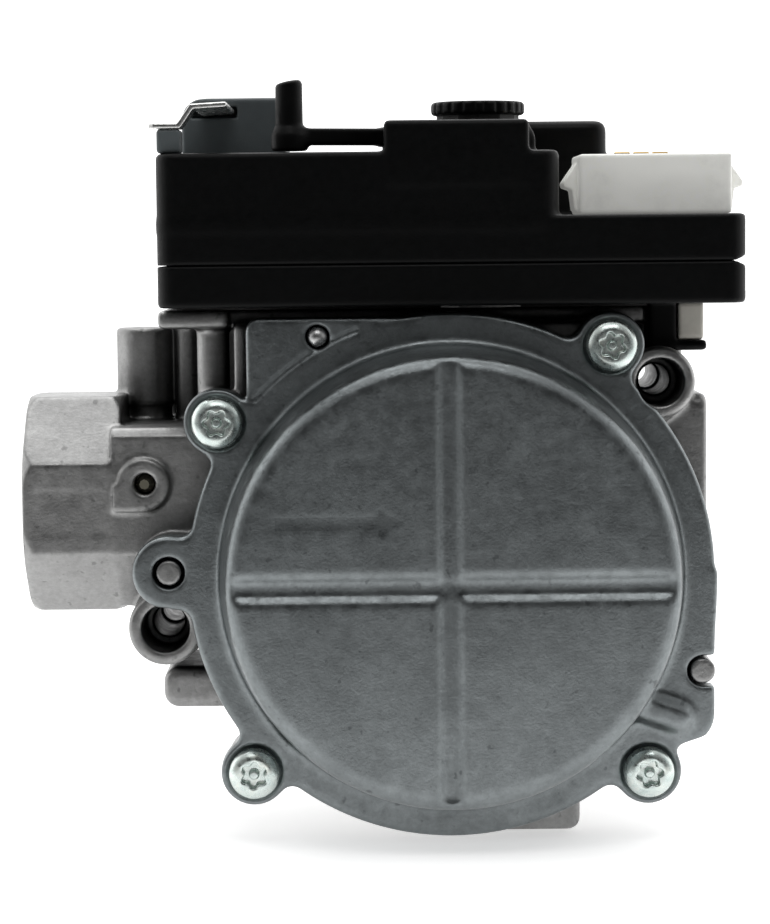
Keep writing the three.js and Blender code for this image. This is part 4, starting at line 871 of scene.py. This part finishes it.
def housing_base():
    clay = Clay((22, -29.5, 24), (113.5, 30.5, 40), 0.36)
    clay.add(pushed("z", housing_plan(), BASE_BOTTOM, BASE_TOP + 1, 0.4))
    clay.cut(pushed("z", housing_plan(WALL), BASE_BOTTOM + 2, BASE_TOP + 2))
    for x, y, _ in HOUSING_SCREWS:
        clay.add(rod("z", x, y, 3.4, BASE_BOTTOM, BASE_TOP))
    # hook that reaches down through the deck's notch
    for right, top in ((103.8, BASE_BOTTOM + 1), (108.6, 25.6)):
        clay.add(block(99.3, right, -14, -6, 24, top, 0.3), 0.4)
    clay.soften(1)
    clay.cut(block(20, 115, -31, 32, BASE_TOP, BASE_TOP + 3))
    # lip that reaches up inside the top cover's wall and keeps light out
    lip = without(housing_plan(WALL + 0.05), housing_plan(2.6))
    clay.add(pushed("z", lip, BASE_BOTTOM + 1, BASE_TOP + 1.4))
    for x, y, _ in HOUSING_SCREWS:
        clay.cut(rod("z", x, y, 4.9, BASE_TOP, BASE_TOP + 3))
    for place, radius in ((PRIMARY, PRIMARY_BORE + 2.5), (SERVO, SERVO_BORE + 2.5), (REGULATOR, 9.3)):
        clay.cut(rod("z", *place, radius, 31, 35))
    for x, y, _ in HOUSING_SCREWS:
        clay.cut(rod("z", x, y, 1.7, 30, 40))
    parting_notch(clay, BASE_TOP + 1, BASE_TOP, 37.1)
    return finish_piece(skin(clay, "housing_lower_shell", 0.35), "housing_base")


def top_cover():
    clay = Clay((22, -29.5, 38), (113.5, 30.5, 61.3), 0.4)
    add, cut = clay.add, clay.cut
    add(pushed("z", housing_plan(), COVER_BOTTOM - 1, SLAB_TOP, 0.4))
    # main box, in two parts that leave room for the slab's connector
    main_box = rect(HOUSING_LEFT, 84.4, HOUSING_FRONT, HOUSING_BACK, 3)
    back_corner = together(rect(76, MAIN_RIGHT, 2.4, 27, 0.5), rect(80, MAIN_RIGHT, 20, HOUSING_BACK, 3))
    for outline in (main_box, back_corner):
        add(pushed("z", outline, 43, MAIN_TOP, 0.7), 0.4)
    # switch chamber with its sloped shoulder, then the raised cover over the servo coil
    add(block(57.6, 79.7, HOUSING_FRONT, 2, 50, BLOCK_TOP, 0.6), 0.4)
    shoulder = polygon([(78, 54), (80.9, 54), (80.9, 57.7), (79.6, BLOCK_TOP), (78, BLOCK_TOP)])
    add(pushed("y", shoulder, -25, 2, 0.3), 0.2)
    add(pushed("z", rect(70, 94.4, 2.4, 24, 3), 50, 61, 1.6), 0.4)
    # low mound round the front screw
    add(rod("z", 30.3, -12, 4.4, 50, MAIN_TOP + 0.4, 0.4), 0.4)
    clay.soften(1)
    cut(block(20, 115, -31, 32, COVER_BOTTOM - 3, COVER_BOTTOM))
    # hollows
    cut(pushed("z", housing_plan(WALL), 37, SLAB_TOP - WALL))
    cut(block(24.5, 82.6, -27.2, 28.2, 37, MAIN_TOP - WALL, 1.0))
    cut(block(76, 94.2, 4.2, 28.2, 37, MAIN_TOP - WALL, 1.0))
    cut(block(59, 78.3, -27.2, 0.6, 52, BLOCK_TOP - 1.2))
    cut(block(71.4, 92.8, 3.8, 22.6, 52, 59.6))
    for x, y, face in HOUSING_SCREWS:
        add(rod("z", x, y, 4.4, COVER_BOTTOM, face - 0.5))
    # slot in which the lever swings, its bearing, and the regulator's opening
    cut(block(56.6, 66.7, -26.6, 0.6, 55.55, 59.7), 0.2)
    cut(rod("z", *LEVER, 4.0, 52, 56.4))
    cut(rod("z", *REGULATOR, REGULATOR_R + 0.4, 51, 63), 0.2)
    for x in PINS:
        cut(rod("z", x, PIN_Y, PIN_HOLE, 42, 46.5))
    for x, y, face in HOUSING_SCREWS:
        cut(rod("z", x, y, 1.7, 37, face + 1))
        cut(rod("z", x, y, 3.4, face - 2.3, face + 1), 0.2)
    parting_notch(clay, 37.3, COVER_BOTTOM, 39.5)
    return finish_piece(skin(clay, "housing_top_shell", 0.35), "top_cover")


def switch_lever():
    """The lever's arm on its hub, with a peg at its end that is slanted at the top."""
    low, high = 56.7, 59.3
    x, y = PEG
    clay = Clay((38, -25, 55.5), (67, -9, 67), 0.2)
    clay.add(rod("z", *LEVER, 4.6, low, high, 0.3))
    clay.add(pushed("z", bar(*LEVER, *PEG, 2), low, high, 0.4), 0.8)
    peg = [(0, 55.8), (2.8, 55.8), (2.8, 58.3), (2.15, 59.6), (2.1, 66.3), (1.6, 66.9), (0, 66.9)]
    clay.add(lathed("z", *PEG, peg), 0.8)
    clay.soften(2)
    slant = polygon([(x - 4, 65.6), (x + 4, 67.6), (x + 4, 70), (x - 4, 70)])
    clay.cut(pushed("y", slant, y - 10, y + 20), 0.5)
    clay.cut(rod("z", *LEVER, 1.3, 58.6, 60), 0.2)
    return finish_piece(skin(clay, "lever_moulding", 0.5), "switch_lever")


def terminal_block():
    """The block for the push-on terminals: a rounded shoulder, two sockets, a slot and a shallow tray."""
    clay = Clay((25, -2.2, 55), (42.2, 22.2, 65.3), 0.25)
    clay.add(pushed("y", rect(25.2, 42, 55.45, 65, 0.8), -2, 22, 0.5))
    shoulder = without(rect(24, 28.8, 61.4, 66), disc(28.8, 61.4, 3.6))
    clay.cut(pushed("y", shoulder, -3, 23), 0.2)
    for x in (30.2, 37.2):
        clay.cut(block(x, x + 4, 4, 7, 58, 66, 0.3), 0.25)
    clay.cut(block(26.7, 34.2, -3, 1.5, 61.8, 63.6, 0.1), 0.1)
    clay.cut(block(29.5, 40.5, 12, 18, 63.8, 66, 0.4), 0.3)
    clay.soften(1)
    return finish_piece(skin(clay, "terminal_block_moulding", 0.5), "terminal_block")


def terminal_post():
    clay = Clay((22.7, -27.2, 55), (26.8, -20.8, 59.3), 0.16)
    clay.add(block(22.9, 26.6, -27, -21, 55.45, 59.1, 0.5))
    clay.cut(rod("z", 24.8, -24, 0.9, 57.5, 60), 0.2)
    clay.soften(1)
    return finish_piece(skin(clay, "terminal_post_moulding", 0.6), "terminal_post")


def ground_terminal():
    """A strip bent up from its push-on tab to an arm that runs back into the terminal block."""
    left, low, high, thick = 21.7, 59.2, 62.1, 0.8
    right, end = left + 12, high + 0.3
    front, tab = -27.2, 6.3
    clay = Clay((21.5, -27.5, 59), (34, 1.2, 63.4), 0.13)
    raised = [(left + 6.9, high), (right, end), (right, end + thick), (left + 6.4, high + thick)]
    foot = [(left + 4.4, low + thick), (left, low + thick)]
    bend = polygon([(left, low), (left + 4.9, low)] + raised + foot)
    clay.add(pushed("y", bend, front, front + tab))
    clay.add(pushed("y", polygon(raised), front, 1))
    clay.soften(2)
    # chamfered tip corners of the tab, and its dimple hole
    for side, y in ((-1, front), (1, front + tab)):
        corner = polygon([(left - 1, y - side * 1.3), (left + 1.4, y + side * 0.4),
                          (left - 1, y + side * 2)])
        clay.cut(pushed("z", corner, low - 1.2, high - 1.1))
    clay.cut(rod("z", left + 2.2, front + tab / 2, 0.8, low - 1.2, high - 1.1), 0.1)
    return finish_piece(skin(clay, "ground_terminal_strip", 0.4), "ground_terminal")


def connector_header():
    """The open-topped shell of the connector, with a latch wing at each end."""
    left, right, front, back, bottom = 88, 111.8, -20, -4, 45.55
    clay = Clay((84.5, -20.5, 45), (115, -3.5, 55.2), 0.2)
    clay.add(block(left, right, front, back, bottom, 54.9, 0.5))
    wing = ((-0.6, 54.6), (2.3, 50.5), (2.1, 49.8), (0.9, 49.4), (0.5, 46.2), (-0.6, 45.6))
    for side, edge in ((-1, left), (1, right)):
        outline = polygon([(edge + side * out, height) for out, height in wing][::side])
        clay.add(pushed("y", outline, front + 4, back - 4, 0.1), 0.15)
    clay.soften(1)
    wall = 1.3
    clay.cut(block(left + wall, right - wall, front + wall, back - wall, 47.15, 56, 0.4), 0.15)
    for x in PINS:
        clay.cut(rod("z", x, PIN_Y, PIN_HOLE, 44, 48))
    return finish_piece(skin(clay, "connector_shell", 0.5), "connector_header")


def connector_pin(index, x):
    """A flat blade with a narrow tang that goes down through the board."""
    half_blade, half_tang, half_thick, foot = 1.3, 0.8, 0.6, 47.4
    clay = Clay((x - 1.4, PIN_Y - 0.8, 39.9), (x + 1.4, PIN_Y + 0.8, 55.5), 0.12)
    front, back = PIN_Y - half_thick, PIN_Y + half_thick
    clay.add(pushed("z", rect(x - half_tang, x + half_tang, front, back, 0.2), 40, foot + 0.2, 0.2))
    clay.add(pushed("z", rect(x - half_blade, x + half_blade, front, back, 0.3), foot, 55.4, 0.3), 0.1)
    return finish_piece(skin(clay, f"connector_blade_{index + 1}", 0.5), f"connector_pin_{index + 1}")


def regulator_cap():
    """The knurled cap over the adjusting screw, with a coin slot."""
    x, y = REGULATOR
    ribs = 24
    clay = Clay((x - 7.6, y - 7.6, 58.6), (x + 7.6, y + 7.6, 63.7), 0.18)
    clay.add(rod("z", x, y, 7.4, 61.4, 63.5, 0.6))
    for i in range(ribs):
        a = (i + 0.5) / ribs * 2 * math.pi
        clay.cut(rod("z", x + 7.75 * math.cos(a), y + 7.75 * math.sin(a), 0.6, 60, 65))
    clay.cut(block(x - 5.4, x + 5.4, y - 0.8, y + 0.8, 62.3, 65, 0.1), 0.15)
    clay.add(rod("z", x, y, 4.9, 58.8, 62, 0.2))
    clay.soften(1)
    return finish_piece(skin(clay, "cap_moulding", 0.5), "regulator_cap")


def retainer_wedge():
    clay = Clay((104, -13.8, 25.6), (108.3, -6.2, 31.8), 0.2)
    clay.add(pushed("x", rect(-13.6, -6.4, 25.7, 31.7, 0.8), 104.1, 108.1, 0.4))
    clay.cut(block(107.4, 109, -11, -9, 27, 30.4, 0.2), 0.2)
    return finish_piece(skin(clay, "wedge_moulding", 0.6), "retainer_wedge")


def ball_plug():
    x, z = BALL
    bpy.ops.mesh.primitive_uv_sphere_add(segments=48, ring_count=24, radius=BALL_R * MM,
                                         location=(x * MM, (COVER_FACE + 1.1) * MM, z * MM))
    ball = bpy.context.object
    ball.name = "pressed_ball"
    for face in ball.data.polygons:
        face.use_smooth = True
    return finish_piece(ball, "ball_plug")


def outlet_tap():
    """The hexagon-headed plug of the outlet's pressure tap."""
    x, y = OUTLET_TAP
    clay = Clay((x - 3.6, y - 3.6, -19.8), (x + 3.6, y + 3.6, -8.8), 0.16)
    clay.add(rod("z", x, y, 1.5, -17.6, -9, 0.2))
    corner = 3.05 / math.cos(math.pi / 6)
    hexagon = polygon([(x + corner * math.cos(a), y + corner * math.sin(a))
                       for a in np.radians(np.arange(0, 360, 60))])
    clay.add(pushed("z", hexagon, -19.6, -17.35, 0.2))
    clay.cut(rod("z", x, y, 0.9, -20, -18.2), 0.2)
    clay.soften(1)
    return finish_piece(skin(clay, "outlet_tap_hexagon", 0.5), "outlet_tap_plug")


def inlet_screen():
    """A disc with rows of round holes, set across the inlet."""
    pitch, hole, field, reach = 1.9, 0.62, 10.6, 6
    clay = Clay((16.9, -12.2, -12.2), (18.1, 12.2, 12.2), 0.2)
    clay.add(rod("x", 0, 0, 11.9, 17.2, 17.8, 0.1))
    for i in range(-reach, reach + 1):
        for j in range(-reach, reach + 1):
            y = (i + 0.5 * (j % 2)) * pitch
            z = j * pitch * 0.87
            if math.hypot(y, z) < field:
                clay.cut(rod("x", y, z, hole, 16, 19))
    return finish_piece(skin(clay, "inlet_screen_sheet", 0.5), "inlet_screen")


cover_casting()
body_casting()
for number, (screw_x, screw_z) in enumerate(BOLTS):
    cover_screw(number, screw_x, screw_z)
for number, (screw_x, screw_y, screw_face) in enumerate(HOUSING_SCREWS):
    housing_screw(number, screw_x, screw_y, screw_face)
housing_base()
top_cover()
switch_lever()
terminal_block()
terminal_post()
ground_terminal()
connector_header()
for number, pin_x in enumerate(PINS):
    connector_pin(number, pin_x)
regulator_cap()
retainer_wedge()
ball_plug()
outlet_tap()
inlet_screen()

for node_name, node in frame["nodes"].items():
    node.data.materials.clear()
    node.data.materials.append(NODE_LOOKS.get(node_name, SLOT_LOOKS[NODE_SLOT[node_name]]))


# ---------------------------------------------------------------- floor, light and camera
def floor():
    low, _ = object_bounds()
    look = Look("pale_floor", (0.93, 0.93, 0.93), 0.9)
    # painted light: a glow behind and under the object keeps the ground white and fades towards the front,
    # where the floor's colour is also painted darker as painted shade
    split = look.node("ShaderNodeSeparateXYZ")
    look.link(look.place, split.inputs[0])
    front, behind = -0.25, -0.06
    spread = look.node("ShaderNodeMapRange", **{"From Min": front, "From Max": behind})
    look.link(split.outputs["Y"], spread.inputs["Value"])
    # painted shade: the floor's colour goes from 0.93 behind the object down to 0.22 at the front
    shade = look.ramp(spread.outputs["Result"], (0.0, 0.22), (1.0, 0.93))
    cloud = look.ramp(look.noise(40, 3), (0.3, 0.98), (0.7, 1.0))
    look.color(look.mix(shade, cloud, 1.0, "MULTIPLY"))
    # painted light: the floor glows behind and under the object, though it is no lamp
    glow = look.ramp(spread.outputs["Result"], (0.0, 0.0), (1.0, 0.5))
    look.link(glow, look.shader.inputs["Emission Color"])
    look.shader.inputs["Emission Strength"].default_value = 1.0
    half = 4.0
    z = low.z - 0.0002
    corners = [(-half, -half, z), (half, -half, z), (half, half, z), (-half, half, z)]
    mesh = bpy.data.meshes.new("floor")
    mesh.from_pydata(corners, [], [(0, 1, 2, 3)])
    mesh.materials.append(look.m)
    made = bpy.data.objects.new("floor", mesh)
    bpy.context.scene.collection.objects.link(made)
    made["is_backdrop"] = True


def softbox(name, place, width, height, watts):
    """A rectangular light that faces the object."""
    target = (0.055, 0, 0)
    data = bpy.data.lights.new(name, "AREA")
    data.shape = "RECTANGLE"
    data.size, data.size_y = width, height
    data.energy = watts
    lamp = bpy.data.objects.new(name, data)
    lamp.location = place
    lamp.rotation_euler = (Vector(target) - Vector(place)).to_track_quat("-Z", "Y").to_euler()
    bpy.context.scene.collection.objects.link(lamp)


def surroundings():
    """A white tent that is darker on the side from which the object is seen."""
    world = bpy.data.worlds.new("tent")
    world.use_nodes = True
    tree = world.node_tree
    back = tree.nodes["Background"]
    direction = tree.nodes.new("ShaderNodeTexCoord").outputs["Generated"]
    split = tree.nodes.new("ShaderNodeSeparateXYZ")
    tree.links.new(direction, split.inputs[0])
    ramp = tree.nodes.new("ShaderNodeValToRGB")
    scale = tree.nodes.new("ShaderNodeMapRange")
    scale.inputs["From Min"].default_value = -1
    scale.inputs["From Max"].default_value = 1
    tree.links.new(split.outputs["Y"], scale.inputs["Value"])
    tree.links.new(scale.outputs["Result"], ramp.inputs["Fac"])
    stops = ((0.0, 0.05), (0.1, 0.06), (0.22, 0.3), (0.36, 0.65), (0.5, 0.8), (1.0, 1.7))
    while len(ramp.color_ramp.elements) < len(stops):
        ramp.color_ramp.elements.new(0.5)
    for element, (at, level) in zip(ramp.color_ramp.elements, stops):
        element.position = at
        element.color = (level, level, level, 1)
    tree.links.new(ramp.outputs["Color"], back.inputs["Color"])
    back.inputs["Strength"].default_value = 1.0
    bpy.context.scene.world = world


def camera():
    """The camera, a little above the object and turned by a small pitch, yaw and roll."""
    place = Vector((0.05408, -0.446, 0.04252))
    pitch, yaw, roll = math.radians(4.73), math.radians(0.44), math.radians(0.6)
    forward = Vector((math.sin(yaw) * math.cos(pitch), math.cos(yaw) * math.cos(pitch), -math.sin(pitch)))
    right = forward.cross(Vector((0, 0, 1))).normalized()
    up = right.cross(forward)
    level = right
    right = level * math.cos(roll) - up * math.sin(roll)
    up = up * math.cos(roll) + level * math.sin(roll)
    data = bpy.data.cameras.new("camera")
    data.sensor_fit = "HORIZONTAL"
    data.sensor_width = 36
    data.lens = 127.64
    data.clip_start = 0.01
    data.clip_end = 20
    made = bpy.data.objects.new("camera", data)
    columns = (right, up, -forward, place)
    made.matrix_world = Matrix([[column[i] for column in columns] for i in range(3)] + [[0, 0, 0, 1]])
    bpy.context.scene.collection.objects.link(made)
    bpy.context.scene.camera = made


floor()
surroundings()
softbox("top_light", (0.0, 0.2, 0.7), 0.8, 0.5, 2.5)
softbox("front_top_light", (0.055, -0.42, 0.62), 0.5, 0.25, 1.0)
softbox("left_light", (-0.6, 0.1, 0.25), 0.5, 0.5, 0.7)
softbox("right_light", (0.7, 0.1, 0.25), 0.5, 0.5, 0.5)
camera()
bpy.context.scene.view_settings.view_transform = "Standard"
